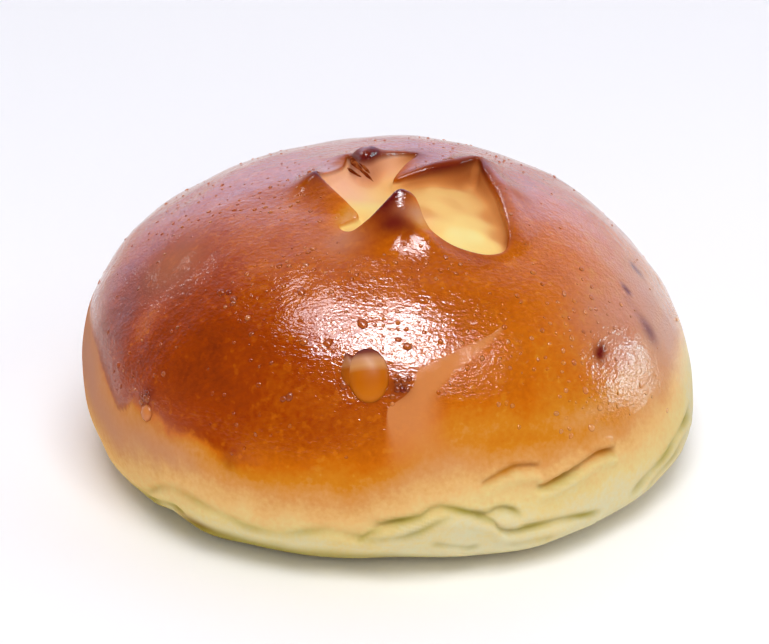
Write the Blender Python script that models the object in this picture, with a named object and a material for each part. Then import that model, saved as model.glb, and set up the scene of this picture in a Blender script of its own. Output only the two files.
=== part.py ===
"""A brioche bun with a star cut in its crown, standing on its flat base.

Units are metres. +Z is up, +X runs to the bun's right and -Y to its front. The origin is at the
middle of the flat base. The bun is one loaf of dough, so it is one closed solid.
"""

import math

import bmesh
import bpy
import numpy as np

MM = 0.001

# Driving dimensions of the loaf.
WIDTH = 100.0 * MM
CROWN_HEIGHT = 46.3 * MM
WAIST_HEIGHT = 12.0 * MM
BASE_RADIUS = 39.3 * MM

# The plan is slightly oval, and the loaf leans: its waist and its base are higher and wider at the
# back left than at the front right.
OVALITY = 0.025
OVAL_TURN = math.radians(10)
WAIST_TILT = 0.52
WAIST_TILT_TURN = math.radians(137)
BASE_SHIFT = 0.12
BASE_SHIFT_TURN = math.radians(140)

# Roundness of the profile: 2 is an ellipse, and more is squarer.
SHOULDER_OUT = 2.40
SHOULDER_UP = 1.89
UNDERSIDE_OUT = 2.05
UNDERSIDE_DOWN = 2.05

# The edge of the star cut, anticlockwise from its front right end, as seen from above. Each point
# has its place, how far the crust there is lifted, and how wide the cut face below it is.
CUT_EDGE_MM = (
    (17.8, -16.7, 0.4, 2.4),
    (18.5, -12.0, 1.5, 3.8),
    (17.1, -3.3, 1.9, 4.0),
    (15.9, 1.0, 1.9, 3.8),
    (14.4, 8.0, 1.6, 3.0),
    (10.9, 4.8, 2.0, 2.0),
    (6.8, 2.4, 1.8, 2.0),
    (3.1, 1.4, 0.7, 1.8),
    (0.6, 1.2, 0.0, 1.8),
    (2.5, 5.9, 0.5, 1.6),
    (4.5, 11.1, 0.4, 1.6),
    (0.4, 7.7, 1.8, 2.4),
    (-3.1, 3.1, 3.6, 2.4),
    (-4.7, 3.2, 3.5, 2.4),
    (-6.4, 7.2, 1.8, 2.2),
    (-7.6, 5.0, 0.5, 1.8),
    (-11.1, 0.0, 2.4, 1.8),
    (-9.3, -4.7, 1.8, 1.6),
    (-4.9, -12.5, 0.8, 1.6),
    (-7.9, -13.6, 0.0, 1.2),
    (-5.8, -15.7, 0.6, 1.4),
    (-1.2, -14.2, 3.2, 3.2),
    (1.2, -13.0, 4.6, 3.4),
    (3.9, -12.9, 4.2, 3.4),
    (5.2, -14.5, 2.3, 2.2),
    (7.0, -16.4, 0.8, 2.0),
    (12.6, -18.3, 0.3, 1.6),
)
CUT_EDGE_STEPS = 8
FLAP_REACH = 5.5 * MM
EDGE_SPREAD = 0.5 * MM

# How strongly, and from how far, the mesh's points draw in to the cut's edge, so that it is clean.
EDGE_PULL = 0.75
PULL_REACH = 1.0 * MM

# The crumb inside the cut: its least depth, and the soft hollows in it as place, depth and width.
CRUMB_DEPTH = 0.7 * MM
CRUMB_HOLLOWS_MM = (
    (12.5, 5.0, 2.4, 6.0),
    (14.5, -5.0, 1.6, 6.5),
    (0.0, -1.5, 1.5, 5.0),
    (-6.0, -1.0, 0.6, 5.0),
)

# The torn ledge at the lower front right, and the crease above the foot. Each is a line of azimuths
# in degrees and heights in millimetres, and it fades out towards its ends. The dough below the ledge
# stands out, and the dough above it draws back.
LEDGE_LINE = ((-76, 14.8), (-68, 16.7), (-61, 17.0), (-59, 13.4), (-47, 15.5), (-40, 14.6))
LEDGE_STEP = 0.8 * MM
LEDGE_BLEND = 1.6 * MM
CREASE_LINE = (
    (-146, 5.0),
    (-137, 9.0),
    (-130, 9.9),
    (-118, 7.5),
    (-102, 9.0),
    (-90, 10.7),
    (-80, 12.9),
    (-72, 10.6),
    (-62, 7.4),
    (-50, 6.4),
    (-38, 6.2),
    (-24, 9.3),
)
CREASE_DEPTH = 0.7 * MM
CREASE_WIDTH = 1.5 * MM
FADE = math.radians(8)

# The mesh: its columns round the loaf, and its rings down each part of the profile.
COLUMNS = 92
CROWN_RINGS = 24
SHOULDER_RINGS = 16
UNDERSIDE_RINGS = 11
BASE_RINGS = 3
CROWN_RADIUS = 26.0 * MM

CRUST_COLOUR = (0.48, 0.16, 0.035, 1.0)
CRUST_ROUGHNESS = 0.3
SHARP_ANGLE = math.radians(70)


def clear_scene():
    """Remove every object that the start-up file holds."""
    for obj in list(bpy.data.objects):
        bpy.data.objects.remove(obj, do_unlink=True)


def waist_radius(turn):
    """Radius of the loaf's widest ring at an azimuth."""
    mean = WIDTH / 2 / (1 + OVALITY * math.cos(2 * OVAL_TURN))
    return mean * (1 + OVALITY * np.cos(2 * (turn - OVAL_TURN)))


def waist_height(turn):
    """Height of the loaf's widest ring at an azimuth."""
    return WAIST_HEIGHT * (1 + WAIST_TILT * np.cos(turn - WAIST_TILT_TURN))


def base_radius(turn):
    """Radius of the flat base at an azimuth."""
    return BASE_RADIUS * (1 + BASE_SHIFT * np.cos(turn - BASE_SHIFT_TURN))


def dome_height(radius, turn):
    """Height of the uncut dome above the base, at a radius inside the waist."""
    share = np.clip(radius / waist_radius(turn), 0, 1)
    rise = (1 - share**SHOULDER_OUT) ** (1 / SHOULDER_UP)
    waist = waist_height(turn)
    return waist + (CROWN_HEIGHT - waist) * rise


def smooth_step(value):
    """Ease from 0 to 1 as the value goes from 0 to 1."""
    value = np.clip(value, 0, 1)
    return value * value * (3 - 2 * value)


def cut_outline():
    """Points along the cut's edge, on a smooth closed curve: columns x, y, lift and face width."""
    knots = np.array(CUT_EDGE_MM) * MM
    before, after, beyond = (np.roll(knots, shift, axis=0) for shift in (1, -1, -2))
    points = []
    for step in range(CUT_EDGE_STEPS):
        t = step / CUT_EDGE_STEPS
        bend = -before * t * (1 - t) ** 2 - beyond * (1 - t) * t**2
        pull = knots * (2 - 5 * t**2 + 3 * t**3) + after * (t + 4 * t**2 - 3 * t**3)
        points.append((bend + pull) / 2)
    return np.stack(points, axis=1).reshape(-1, knots.shape[1])


def inside(x, y, outline):
    """Whether each point lies within the closed outline, by the crossings of a ray along +X."""
    crossings = np.zeros(x.shape, dtype=int)
    for (x0, y0), (x1, y1) in zip(outline[:, :2], np.roll(outline[:, :2], -1, axis=0), strict=True):
        spans = (y0 > y) != (y1 > y)
        if y1 != y0:
            crossings += spans & (x < x0 + (y - y0) * (x1 - x0) / (y1 - y0))
    return crossings % 2 == 1


def edge_values(x, y, outline):
    """Distance to the cut's edge, negative on the crust, with the edge's lift and face width."""
    away = np.hypot(x[:, None] - outline[:, 0], y[:, None] - outline[:, 1])
    weight = 1 / (away**2 + EDGE_SPREAD**2) ** 2
    weight /= weight.sum(axis=1, keepdims=True)
    sign = np.where(inside(x, y, outline), 1, -1)
    return sign * away.min(axis=1), weight @ outline[:, 2], weight @ outline[:, 3]


def draw_to_edge(x, y, outline):
    """Move places near the cut's edge closer to it."""
    away = np.hypot(x[:, None] - outline[:, 0], y[:, None] - outline[:, 1])
    near = outline[away.argmin(axis=1)]
    pull = EDGE_PULL * np.exp(-((away.min(axis=1) / PULL_REACH) ** 2))
    return x + (near[:, 0] - x) * pull, y + (near[:, 1] - y) * pull


def crumb_depth(x, y):
    """How far the crumb lies below the uncut dome."""
    depth = np.full(x.shape, CRUMB_DEPTH)
    for hollow_x, hollow_y, deep, wide in np.array(CRUMB_HOLLOWS_MM) * MM:
        depth += deep * np.exp(-((x - hollow_x) ** 2 + (y - hollow_y) ** 2) / wide**2)
    return depth


def place_crown(radius, turn):
    """Places on the crown: the dome, lifted at the flaps and sunk within the cut."""
    outline = cut_outline()
    x, y = draw_to_edge(radius * np.cos(turn), radius * np.sin(turn), outline)
    dome = dome_height(np.hypot(x, y), np.arctan2(y, x))
    distance, lift, face = edge_values(x, y, outline)
    crust = dome + lift * np.exp(-np.abs(distance) / FLAP_REACH)
    crumb = dome - crumb_depth(x, y)
    return np.stack([x, y, crust + (crumb - crust) * smooth_step(distance / face)], axis=1)


def line_offset(line, turn, rise):
    """Height above a line round the loaf's side, and how fully the line is formed there."""
    turns, heights = np.radians([knot[0] for knot in line]), np.array([knot[1] for knot in line]) * MM
    ends = np.minimum(turn - turns[0], turns[-1] - turn)
    return rise - np.interp(turn, turns, heights), smooth_step(ends / FADE)


def side_relief(turn, rise):
    """How far the side stands out at an azimuth and a height, from its torn ledge and its crease."""
    above, formed = line_offset(LEDGE_LINE, turn, rise)
    below = -above / LEDGE_BLEND
    ledge = LEDGE_STEP * formed * below * np.exp(-(below**2) / 2)
    above, formed = line_offset(CREASE_LINE, turn, rise)
    return ledge - CREASE_DEPTH * formed * np.exp(-((above / CREASE_WIDTH) ** 2))


def station_rings():
    """The profile's rings from the crown's centre to the base's centre, as (part, share) pairs."""
    parts = (
        ("crown", CROWN_RINGS),
        ("shoulder", SHOULDER_RINGS),
        ("underside", UNDERSIDE_RINGS),
        ("base", BASE_RINGS),
    )
    return [(part, step / rings) for part, rings in parts for step in range(rings)] + [("base", 1.0)]


def place_ring(part, share, turn):
    """Positions of one ring of the loaf, at the azimuths given."""
    waist, height = waist_radius(turn), waist_height(turn)
    foot = base_radius(turn)
    if part == "crown" or (part == "shoulder" and share == 0):
        reach = share if part == "crown" else 1.0
        return place_crown(np.full(turn.shape, CROWN_RADIUS * reach), turn)
    if part == "shoulder":
        start = np.arcsin((CROWN_RADIUS / waist) ** (SHOULDER_OUT / 2))
        angle = start + (math.pi / 2 - start) * share
        radius = waist * np.sin(angle) ** (2 / SHOULDER_OUT)
        rise = height + (CROWN_HEIGHT - height) * np.cos(angle) ** (2 / SHOULDER_UP)
        radius = radius + side_relief(turn, rise)
    elif part == "underside":
        angle = math.pi / 2 * share
        radius = foot + (waist - foot) * math.cos(angle) ** (2 / UNDERSIDE_OUT)
        rise = height * (1 - math.sin(angle) ** (2 / UNDERSIDE_DOWN))
        radius = radius + side_relief(turn, rise)
    else:
        radius = foot * (1 - share)
        rise = np.zeros(turn.shape)
    return np.stack([radius * np.cos(turn), radius * np.sin(turn), rise], axis=1)


def shape_loaf(bm):
    """Move the vertices of a unit sphere, ring by ring, onto the loaf's surface."""
    rings = station_rings()
    members = [[] for _ in rings]
    for vertex in bm.verts:
        polar = math.acos(max(-1.0, min(1.0, vertex.co.z)))
        members[round(polar / math.pi * (len(rings) - 1))].append(vertex)
    for (part, share), vertices in zip(rings, members, strict=True):
        turn = np.array([math.atan2(vertex.co.y, vertex.co.x) for vertex in vertices])
        for vertex, point in zip(vertices, place_ring(part, share, turn), strict=True):
            vertex.co = point


def crust_material():
    """The glazed crust: a warm brown with a soft gloss."""
    material = bpy.data.materials.new("glazed_crust")
    material.use_nodes = True
    shader = material.node_tree.nodes["Principled BSDF"]
    shader.inputs["Base Color"].default_value = CRUST_COLOUR
    shader.inputs["Roughness"].default_value = CRUST_ROUGHNESS
    shader.inputs["Metallic"].default_value = 0.0
    return material


def build_loaf(collection):
    """The whole bun as one closed mesh, shaped from a sphere."""
    bm = bmesh.new()
    ring_steps = CROWN_RINGS + SHOULDER_RINGS + UNDERSIDE_RINGS + BASE_RINGS
    bmesh.ops.create_uvsphere(bm, u_segments=COLUMNS, v_segments=ring_steps, radius=1.0)
    shape_loaf(bm)
    mesh = bpy.data.meshes.new("brioche_bun")
    bm.to_mesh(mesh)
    bm.free()
    mesh.shade_smooth()
    mesh.set_sharp_from_angle(angle=SHARP_ANGLE)
    mesh.materials.append(crust_material())
    loaf = bpy.data.objects.new("brioche_bun", mesh)
    collection.objects.link(loaf)


def main():
    clear_scene()
    collection = bpy.data.collections.new("brioche")
    bpy.context.scene.collection.children.link(collection)
    build_loaf(collection)


main()
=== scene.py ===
"""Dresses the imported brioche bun: its glazed crust, star cut, folds, blisters and glaze bubbles.

The loaf is one skin, shaped ring by ring from a sphere around the CAD solid's own form, with the
star cut opened at the crown, the torn ledge and creases round the foot, and the egg wash's line
round the side. Small blisters, two large bubbles of glaze and three torn threads of dough sit on
it. Units are metres, +Z is up, -Y is the front, and the bun stands at the origin.
"""

import logging
import math
from dataclasses import dataclass, field
from enum import Enum

import bpy
import numpy as np
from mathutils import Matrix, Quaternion, Vector

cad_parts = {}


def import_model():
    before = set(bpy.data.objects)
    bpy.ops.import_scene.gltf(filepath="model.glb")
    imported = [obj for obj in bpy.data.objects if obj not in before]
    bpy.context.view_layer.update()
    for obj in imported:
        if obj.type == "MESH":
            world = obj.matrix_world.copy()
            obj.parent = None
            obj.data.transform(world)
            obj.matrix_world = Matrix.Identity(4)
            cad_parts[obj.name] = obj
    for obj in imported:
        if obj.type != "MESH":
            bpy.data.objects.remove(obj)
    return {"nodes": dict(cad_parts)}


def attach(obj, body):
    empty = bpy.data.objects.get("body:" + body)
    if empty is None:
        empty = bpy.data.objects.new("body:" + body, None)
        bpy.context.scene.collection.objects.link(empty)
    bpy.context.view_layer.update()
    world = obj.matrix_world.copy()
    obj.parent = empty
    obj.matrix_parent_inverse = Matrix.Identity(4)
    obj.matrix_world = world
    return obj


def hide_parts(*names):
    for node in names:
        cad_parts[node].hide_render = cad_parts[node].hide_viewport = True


MM = 0.001
FRONT = -math.pi / 2
ROUND = 2 * math.pi
TINY = 1e-9
DISPLAY_WHITE = 255
DISPLAY_GAMMA = 2.2
GLAZE_ROUGHNESS = 0.07
GLASSY_INDEX = 1.5

Colour = tuple[float, float, float, float]
Stops = tuple[tuple[float, Colour], ...]
Pairs = tuple[tuple[float, float], ...]
Triples = tuple[tuple[float, float, float], ...]
Socket = bpy.types.NodeSocket

log = logging.getLogger("brioche")


class Layer(str, Enum):
    """Values that a mesh carries at its vertices for its finish to read."""

    BAKE = "bake"
    CUT = "cut_distance"
    TONE = "crumb_tone"
    BLUSH = "crumb_blush"
    BAND = "band"
    BAND_EDGE = "band_edge"
    # painted shade in the folds' grooves, and the foot's darkening near the floor
    SHADE = "fold_shade"
    BURN = "burn"
    GLAZE = "glaze"
    # painted shade round the foot of each blister and bubble
    RIM_SHADE = "rim"


class Part(Enum):
    """The parts of the loaf's profile, from the top down."""

    CROWN = 0
    SHOULDER = 1
    UNDERSIDE = 2
    BASE = 3


def linear(red: float, green: float, blue: float) -> Colour:
    """A linear colour for a shader from display values of 0 to 255.

    Args:
        red, green, blue: the display values.

    Returns:
        Linear red, green, blue and an alpha of 1.
    """
    return (*[(value / DISPLAY_WHITE) ** DISPLAY_GAMMA for value in (red, green, blue)], 1.0)


def make_all(kind: type, rows: tuple[tuple, ...]) -> tuple:
    """One object of a kind for each row of its values."""
    return tuple(kind(*row) for row in rows)


def smooth_step(value: np.ndarray) -> np.ndarray:
    """Ease from 0 to 1 as the value goes from 0 to 1."""
    value = np.clip(value, 0, 1)
    return value * value * (3 - 2 * value)


def rising(place: np.ndarray, start: float, span: float) -> np.ndarray:
    """Ease from 0 to 1 over a span of places, with its start and span in millimetres."""
    return smooth_step((place - start * MM) / (span * MM))


def bell(distance: np.ndarray, reach: float) -> np.ndarray:
    """A smooth bump of height 1 that dies away past its reach."""
    return np.exp(-((distance / reach) ** 2))


def draw_in(distance: np.ndarray, reach: float, share: float) -> np.ndarray:
    """Distances pulled towards 0, so that a mesh has more points near a line.

    Args:
        distance: signed distance from the line.
        reach: how far the pull reaches.
        share: the pull at the line, from 0 to under 1.

    Returns:
        The new signed distances, in the same order.
    """
    return distance * (1 - share * bell(distance, reach))


@dataclass(frozen=True)
class Unevenness:
    """Smooth, repeatable noise made of plane waves in seeded directions."""

    wavelength: float
    seed: int
    waves: int = 14
    spread: tuple[float, float] = (0.7, 1.5)

    def at(self, points: np.ndarray) -> np.ndarray:
        """Noise at each point.

        Args:
            points: positions, one row each.

        Returns:
            Values spread about 0, mostly within -1 to 1.
        """
        rng = np.random.default_rng(self.seed)
        way = rng.normal(size=(self.waves, 3))
        way /= np.linalg.norm(way, axis=1, keepdims=True)
        pitch = ROUND / (self.wavelength * rng.uniform(*self.spread, self.waves))
        start = rng.uniform(0, ROUND, self.waves)
        return np.sin(points @ (way * pitch[:, None]).T + start).sum(axis=1) / math.sqrt(self.waves)


@dataclass(frozen=True)
class LoafForm:
    """The loaf without its cut and folds: an oval dome on a rounded foot, leaning a little."""

    width: float = 100.0 * MM
    crown_height: float = 46.3 * MM
    waist_height: float = 12.0 * MM
    base_radius: float = 39.3 * MM
    ovality: float = 0.025
    oval_turn: float = math.radians(10)
    waist_tilt: float = 0.52
    waist_tilt_turn: float = math.radians(137)
    base_shift: float = 0.12
    base_shift_turn: float = math.radians(140)
    shoulder_out: float = 2.40
    shoulder_up: float = 1.89
    underside_out: float = 2.05
    underside_down: float = 2.05

    def waist(self, turn: np.ndarray) -> np.ndarray:
        """Radius of the widest ring at each azimuth."""
        mean = self.width / 2 / (1 + self.ovality * math.cos(2 * self.oval_turn))
        return mean * (1 + self.ovality * np.cos(2 * (turn - self.oval_turn)))

    def waist_rise(self, turn: np.ndarray) -> np.ndarray:
        """Height of the widest ring at each azimuth."""
        return self.waist_height * (1 + self.waist_tilt * np.cos(turn - self.waist_tilt_turn))

    def foot(self, turn: np.ndarray) -> np.ndarray:
        """Radius of the flat base at each azimuth."""
        return self.base_radius * (1 + self.base_shift * np.cos(turn - self.base_shift_turn))

    def dome(self, x: np.ndarray, y: np.ndarray) -> np.ndarray:
        """Height of the uncut dome over each place in the plan."""
        turn = np.arctan2(y, x)
        share = np.clip(np.hypot(x, y) / self.waist(turn), 0, 1)
        waist = self.waist_rise(turn)
        rise = (1 - share**self.shoulder_out) ** (1 / self.shoulder_up)
        return waist + (self.crown_height - waist) * rise

    def side_radius(self, rise: np.ndarray, turn: np.ndarray) -> np.ndarray:
        """Radius of the loaf's side at each height and azimuth."""
        waist, height, foot = self.waist(turn), self.waist_rise(turn), self.foot(turn)
        up = np.clip((rise - height) / (self.crown_height - height), 0, 1)
        down = np.clip(1 - rise / height, 0, 1)
        over = waist * (1 - up**self.shoulder_up) ** (1 / self.shoulder_out)
        under = foot + (waist - foot) * (1 - down**self.underside_down) ** (1 / self.underside_out)
        return np.where(rise >= height, over, under)

    def shoulder_rise(self, share: np.ndarray, turn: np.ndarray, start_radius: float) -> np.ndarray:
        """Heights spread down the shoulder.

        Args:
            share: 0 at the crown's edge to 1 at the waist.
            turn: azimuths.
            start_radius: radius of the crown's edge.

        Returns:
            The height at each share.
        """
        height = self.waist_rise(turn)
        start = np.arcsin((start_radius / self.waist(turn)) ** (self.shoulder_out / 2))
        angle = start + (math.pi / 2 - start) * share
        return height + (self.crown_height - height) * np.cos(angle) ** (2 / self.shoulder_up)

    def underside_rise(self, share: np.ndarray, turn: np.ndarray) -> np.ndarray:
        """Heights spread down the underside, from the waist at 0 to the base at 1."""
        turned = np.sin(math.pi / 2 * share) ** (2 / self.underside_down)
        return self.waist_rise(turn) * (1 - turned)

    def outward(self, points: np.ndarray) -> np.ndarray:
        """Roughly outward directions at points on the loaf."""
        reach = self.width / 2
        lean = points / np.array([reach, reach, self.crown_height]) ** 2
        lean[:, 2] = (points[:, 2] - self.waist_height) / (self.crown_height - self.waist_height) ** 2
        return lean / np.maximum(np.linalg.norm(lean, axis=1, keepdims=True), TINY)


@dataclass(frozen=True)
class EdgeKnot:
    """One place on the star cut's edge, in millimetres: what the crust and the face do there."""

    x: float
    y: float
    lift: float
    face: float
    under: float
    lip: float
    tone: float
    burn: float
    dull: float
    reach: float

    def values(self) -> tuple[float, ...]:
        """The knot as a row, with its lengths in metres."""
        lengths = (self.x, self.y, self.lift, self.face, self.under, self.lip)
        return (*[length * MM for length in lengths], self.tone, self.burn, self.dull, self.reach * MM)


STAR_EDGE = make_all(EdgeKnot, (
    (17.8, -16.7, 0.4, 0.9, 0.0, 0.7, 0.40, 0.2, 0.8, 4.0),
    (18.6, -13.9, 1.4, 1.2, 0.0, 1.8, 0.70, 0.3, 0.9, 5.0),
    (18.4, -11.0, 2.5, 1.3, 0.0, 2.8, 0.62, 0.2, 0.1, 5.5),
    (17.1, -3.3, 3.0, 1.6, 0.0, 3.2, 0.52, 0.3, 0.0, 6.0),
    (15.9, 1.0, 2.9, 1.6, 0.0, 2.7, 0.60, 0.5, 0.1, 6.0),
    (15.0, 4.0, 2.6, 1.6, 0.1, 1.8, 0.64, 0.9, 0.7, 5.5),
    (14.2, 8.3, 1.9, 1.2, 0.2, 0.8, 0.66, 0.8, 0.8, 5.0),
    (10.9, 4.8, 2.4, 0.8, 0.2, 1.5, 0.64, 0.9, 0.8, 6.0),
    (6.8, 2.4, 2.1, 0.8, 0.2, 1.5, 0.60, 0.9, 0.8, 6.0),
    (3.1, 1.4, 0.8, 1.2, 0.1, 1.0, 0.60, 0.5, 0.8, 4.0),
    (0.6, 1.2, -0.1, 1.5, 0.1, 0.6, 0.30, 0.2, 0.8, 4.0),
    (2.5, 5.9, 0.5, 0.7, 0.1, 0.4, 0.40, 0.1, 0.8, 4.0),
    (4.5, 11.1, 0.4, 0.6, 0.1, 0.3, 0.78, 0.8, 0.6, 2.5),
    (0.4, 7.7, 2.2, 1.8, 0.0, 1.0, 0.48, 0.5, 0.5, 7.0),
    (-3.1, 3.1, 4.8, 1.6, 0.0, 2.6, 0.72, 1.0, 0.7, 8.0),
    (-4.7, 3.2, 4.4, 1.4, 0.0, 2.4, 0.76, 1.0, 0.7, 8.0),
    (-6.0, 6.2, 3.0, 1.2, 0.0, 1.9, 0.80, 0.9, 0.7, 7.0),
    (-6.8, 8.1, 1.2, 1.0, 0.0, 0.8, 0.60, 0.6, 0.5, 5.0),
    (-7.6, 5.0, 0.5, 1.2, 0.0, 0.4, 0.36, 0.0, 0.2, 4.0),
    (-10.6, 0.6, 1.6, 1.6, 0.0, 0.4, 0.34, 0.1, 0.3, 4.5),
    (-11.5, -0.8, 3.1, 1.2, 0.1, 0.9, 0.44, 1.3, 0.0, 5.0),
    (-9.3, -4.7, 2.1, 1.2, 0.1, 0.7, 0.32, 0.3, 0.3, 5.0),
    (-6.4, -9.5, 1.4, 1.0, 0.1, 0.5, 0.18, 0.0, 0.7, 4.0),
    (-4.9, -12.5, 0.9, 0.8, 0.1, 0.5, 0.06, 0.0, 0.8, 4.0),
    (-7.9, -13.6, 0.0, 0.5, 0.0, 0.3, 0.14, 0.0, 0.8, 3.0),
    (-6.2, -15.7, 0.4, 0.6, 0.0, 0.3, 0.14, 0.1, 0.6, 3.0),
    (-3.5, -15.3, 2.2, 0.9, 0.1, 0.5, 0.20, 0.6, 0.3, 5.5),
    (-1.2, -14.2, 4.1, 1.0, 0.1, 0.6, 0.34, 1.2, 0.2, 6.2),
    (1.2, -13.0, 6.3, 1.2, 0.1, 1.2, 0.66, 1.6, 0.3, 6.8),
    (2.7, -12.8, 6.0, 1.4, 0.0, 1.2, 0.56, 1.0, 0.5, 6.8),
    (3.9, -12.9, 5.3, 1.6, 0.0, 1.1, 0.48, 0.3, 0.7, 6.6),
    (4.7, -13.7, 4.2, 2.0, 0.0, 1.0, 0.42, 0.0, 0.9, 6.0),
    (5.2, -14.5, 2.9, 2.2, 0.0, 0.9, 0.36, 0.0, 0.9, 5.0),
    (5.9, -15.3, 1.7, 2.0, 0.0, 0.6, 0.32, 0.0, 0.9, 4.5),
    (7.0, -16.4, 0.8, 1.5, 0.0, 0.4, 0.26, 0.1, 0.8, 4.0),
    (10.6, -18.1, 0.3, 0.9, 0.1, 0.3, 0.12, 0.3, 0.7, 4.0),
    (14.8, -18.4, 0.2, 0.8, 0.1, 0.3, 0.16, 0.3, 0.7, 4.0)))


@dataclass(frozen=True)
class Spot:
    """A soft round spot in the plan, in millimetres, with an amount."""

    x: float
    y: float
    reach: float
    amount: float

    def spread(self, x: np.ndarray, y: np.ndarray) -> np.ndarray:
        """The spot's amount at each place."""
        away = np.hypot(x - self.x * MM, y - self.y * MM)
        return self.amount * bell(away, self.reach * MM)


@dataclass(frozen=True)
class Mark:
    """A scorched or stained mark on the crust: its place and reach in millimetres, and its strength."""

    x: float
    y: float
    z: float
    reach: float
    strength: float

    def spread(self, points: np.ndarray) -> np.ndarray:
        """The mark's strength at each point."""
        away = np.linalg.norm(points - np.array([self.x, self.y, self.z]) * MM, axis=1)
        return self.strength * bell(away, self.reach * MM)


@dataclass
class EdgeReading:
    """What the cut's edge says at each place: the signed distance in, the way in, and the knots' values."""

    inward: np.ndarray
    way: np.ndarray
    lift: np.ndarray
    face: np.ndarray
    under: np.ndarray
    lip: np.ndarray
    tone: np.ndarray
    burn: np.ndarray
    dull: np.ndarray
    reach: np.ndarray


@dataclass
class StarCut:
    """The star-shaped cut in the crown: lifted flaps round a smooth, pale hollow."""

    knots: tuple[EdgeKnot, ...] = STAR_EDGE
    steps: int = 14
    flap_curve: float = 0.20
    dull_reach: float = 1.8 * MM
    burn_reach: float = 2.8 * MM
    crumb_depth: float = 0.7 * MM
    pull_reach: float = 1.1 * MM
    pull: float = 0.72
    blend: float = 0.4 * MM
    face_curve: float = 2.2
    hollows: tuple[Spot, ...] = make_all(Spot, (
        (12.5, 5.0, 6.0, 1.9), (14.5, -5.0, 6.5, 1.6), (0.0, -1.5, 5.0, 1.5), (-6.0, -1.0, 5.0, 0.6)))
    # Crumb tones; the darker ones beneath the back-right lip and in its corner are partly painted shade,
    # the rest the crumb's own tone.
    tones: tuple[Spot, ...] = make_all(Spot, (
        (13.9, -13.7, 3.0, 0.02), (9.8, -14.4, 3.0, 0.02), (16.2, -15.5, 1.5, 0.12), (8.0, -6.0, 2.0, 0.25),
        (12.7, -8.4, 2.5, 0.16), (10.5, 2.1, 2.0, 0.25), (14.0, 6.8, 1.8, 0.68), (10.1, 7.3, 2.0, 0.50),
        (8.9, 3.4, 1.5, 0.40), (11.4, 4.9, 1.5, 0.43), (13.8, 5.2, 1.4, 0.36), (12.1, -1.6, 1.6, 0.28),
        (4.9, 2.0, 1.8, 0.44), (3.0, 1.1, 1.6, 0.36), (7.5, 0.5, 1.6, 0.28), (-0.5, 2.0, 1.5, 0.30),
        (10.0, -2.9, 1.2, 0.36), (17.1, -5.2, 1.2, 0.50), (17.4, -12.3, 1.0, 0.44), (-9.5, 3.1, 2.5, 0.34),
        (-6.3, -1.5, 2.0, 0.20), (-4.7, -5.8, 1.5, 0.12), (-2.5, 0.6, 1.5, 0.20), (-6.5, -13.1, 1.0, 0.26),
        (-0.2, 7.9, 2.0, 0.42), (5.1, -8.4, 1.2, 0.42), (6.7, -13.0, 1.2, 0.18)))
    blushes: tuple[Spot, ...] = make_all(Spot, (
        (-8.5, 2.5, 5.0, 0.85), (-5.5, -2.5, 3.5, 0.45), (-0.5, 7.0, 3.5, 0.55), (5.0, -11.0, 2.2, 0.25)))
    swells: tuple[Spot, ...] = make_all(Spot, (
        (0.4, -18.0, 2.0, 0.35), (2.9, -17.6, 2.2, 0.85), (5.6, -18.2, 2.0, 0.70), (2.4, -14.9, 1.8, 0.60),
        (0.7, -15.6, 0.9, 0.32), (2.2, -15.7, 0.9, 0.36), (-3.8, 6.2, 2.0, 1.05)))
    thin: tuple[Spot, ...] = make_all(Spot, (
        (0.6, -16.6, 1.5, 1.0), (2.7, -17.0, 1.4, 1.0), (-2.6, -17.6, 2.4, 1.0), (-5.2, -18.8, 2.6, 0.9),
        (4.2, -16.2, 1.3, 0.9), (3.2, -18.1, 1.3, 0.85), (-0.5, -18.5, 1.3, 0.9), (-1.0, -20.2, 1.8, 0.8),
        (20.4, -2.0, 2.6, 0.6), (-13.5, -2.2, 2.6, 1.0), (-3.7, 3.4, 1.2, -0.8), (1.7, -14.3, 1.3, -0.6),
        (0.4, -18.2, 1.3, 0.7), (-9.0, -8.0, 3.0, 0.4)))
    _outline: np.ndarray = field(init=False, repr=False)

    def __post_init__(self) -> None:
        """Draw the smooth closed edge through the knots."""
        knots = np.array([knot.values() for knot in self.knots])
        before, after, beyond = (np.roll(knots, shift, axis=0) for shift in (1, -1, -2))
        drawn = []
        for step in range(self.steps):
            t = step / self.steps
            bend = -before * t * (1 - t) ** 2 - beyond * (1 - t) * t**2
            pull = knots * (2 - 5 * t**2 + 3 * t**3) + after * (t + 4 * t**2 - 3 * t**3)
            drawn.append((bend + pull) / 2)
        self._outline = np.stack(drawn, axis=1).reshape(-1, knots.shape[1])

    def inside(self, x: np.ndarray, y: np.ndarray) -> np.ndarray:
        """Whether each place lies within the cut, by the crossings of a ray along +X."""
        crossings = np.zeros(x.shape, dtype=int)
        ends = np.roll(self._outline[:, :2], -1, axis=0)
        for (x0, y0), (x1, y1) in zip(self._outline[:, :2], ends, strict=True):
            if y1 != y0:
                spans = (y0 > y) != (y1 > y)
                crossings += spans & (x < x0 + (y - y0) * (x1 - x0) / (y1 - y0))
        return crossings % 2 == 1

    def nearest(self, x: np.ndarray, y: np.ndarray) -> tuple[np.ndarray, np.ndarray]:
        """The nearest point of the edge to each place.

        Args:
            x, y: places in the plan.

        Returns:
            The nearest points as rows, and the distances to them.
        """
        start = self._outline[:, :2]
        side = np.roll(start, -1, axis=0) - start
        length = (side**2).sum(axis=1)
        place = np.stack([x, y], axis=1)
        best, found = np.full(len(x), np.inf), np.zeros((len(x), 2))
        for base, along, square in zip(start, side, length, strict=True):
            share = np.clip((place - base) @ along / square, 0, 1)
            foot = base + share[:, None] * along
            away = np.hypot(*(place - foot).T)
            closer = away < best
            best[closer], found[closer] = away[closer], foot[closer]
        return found, best

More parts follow.
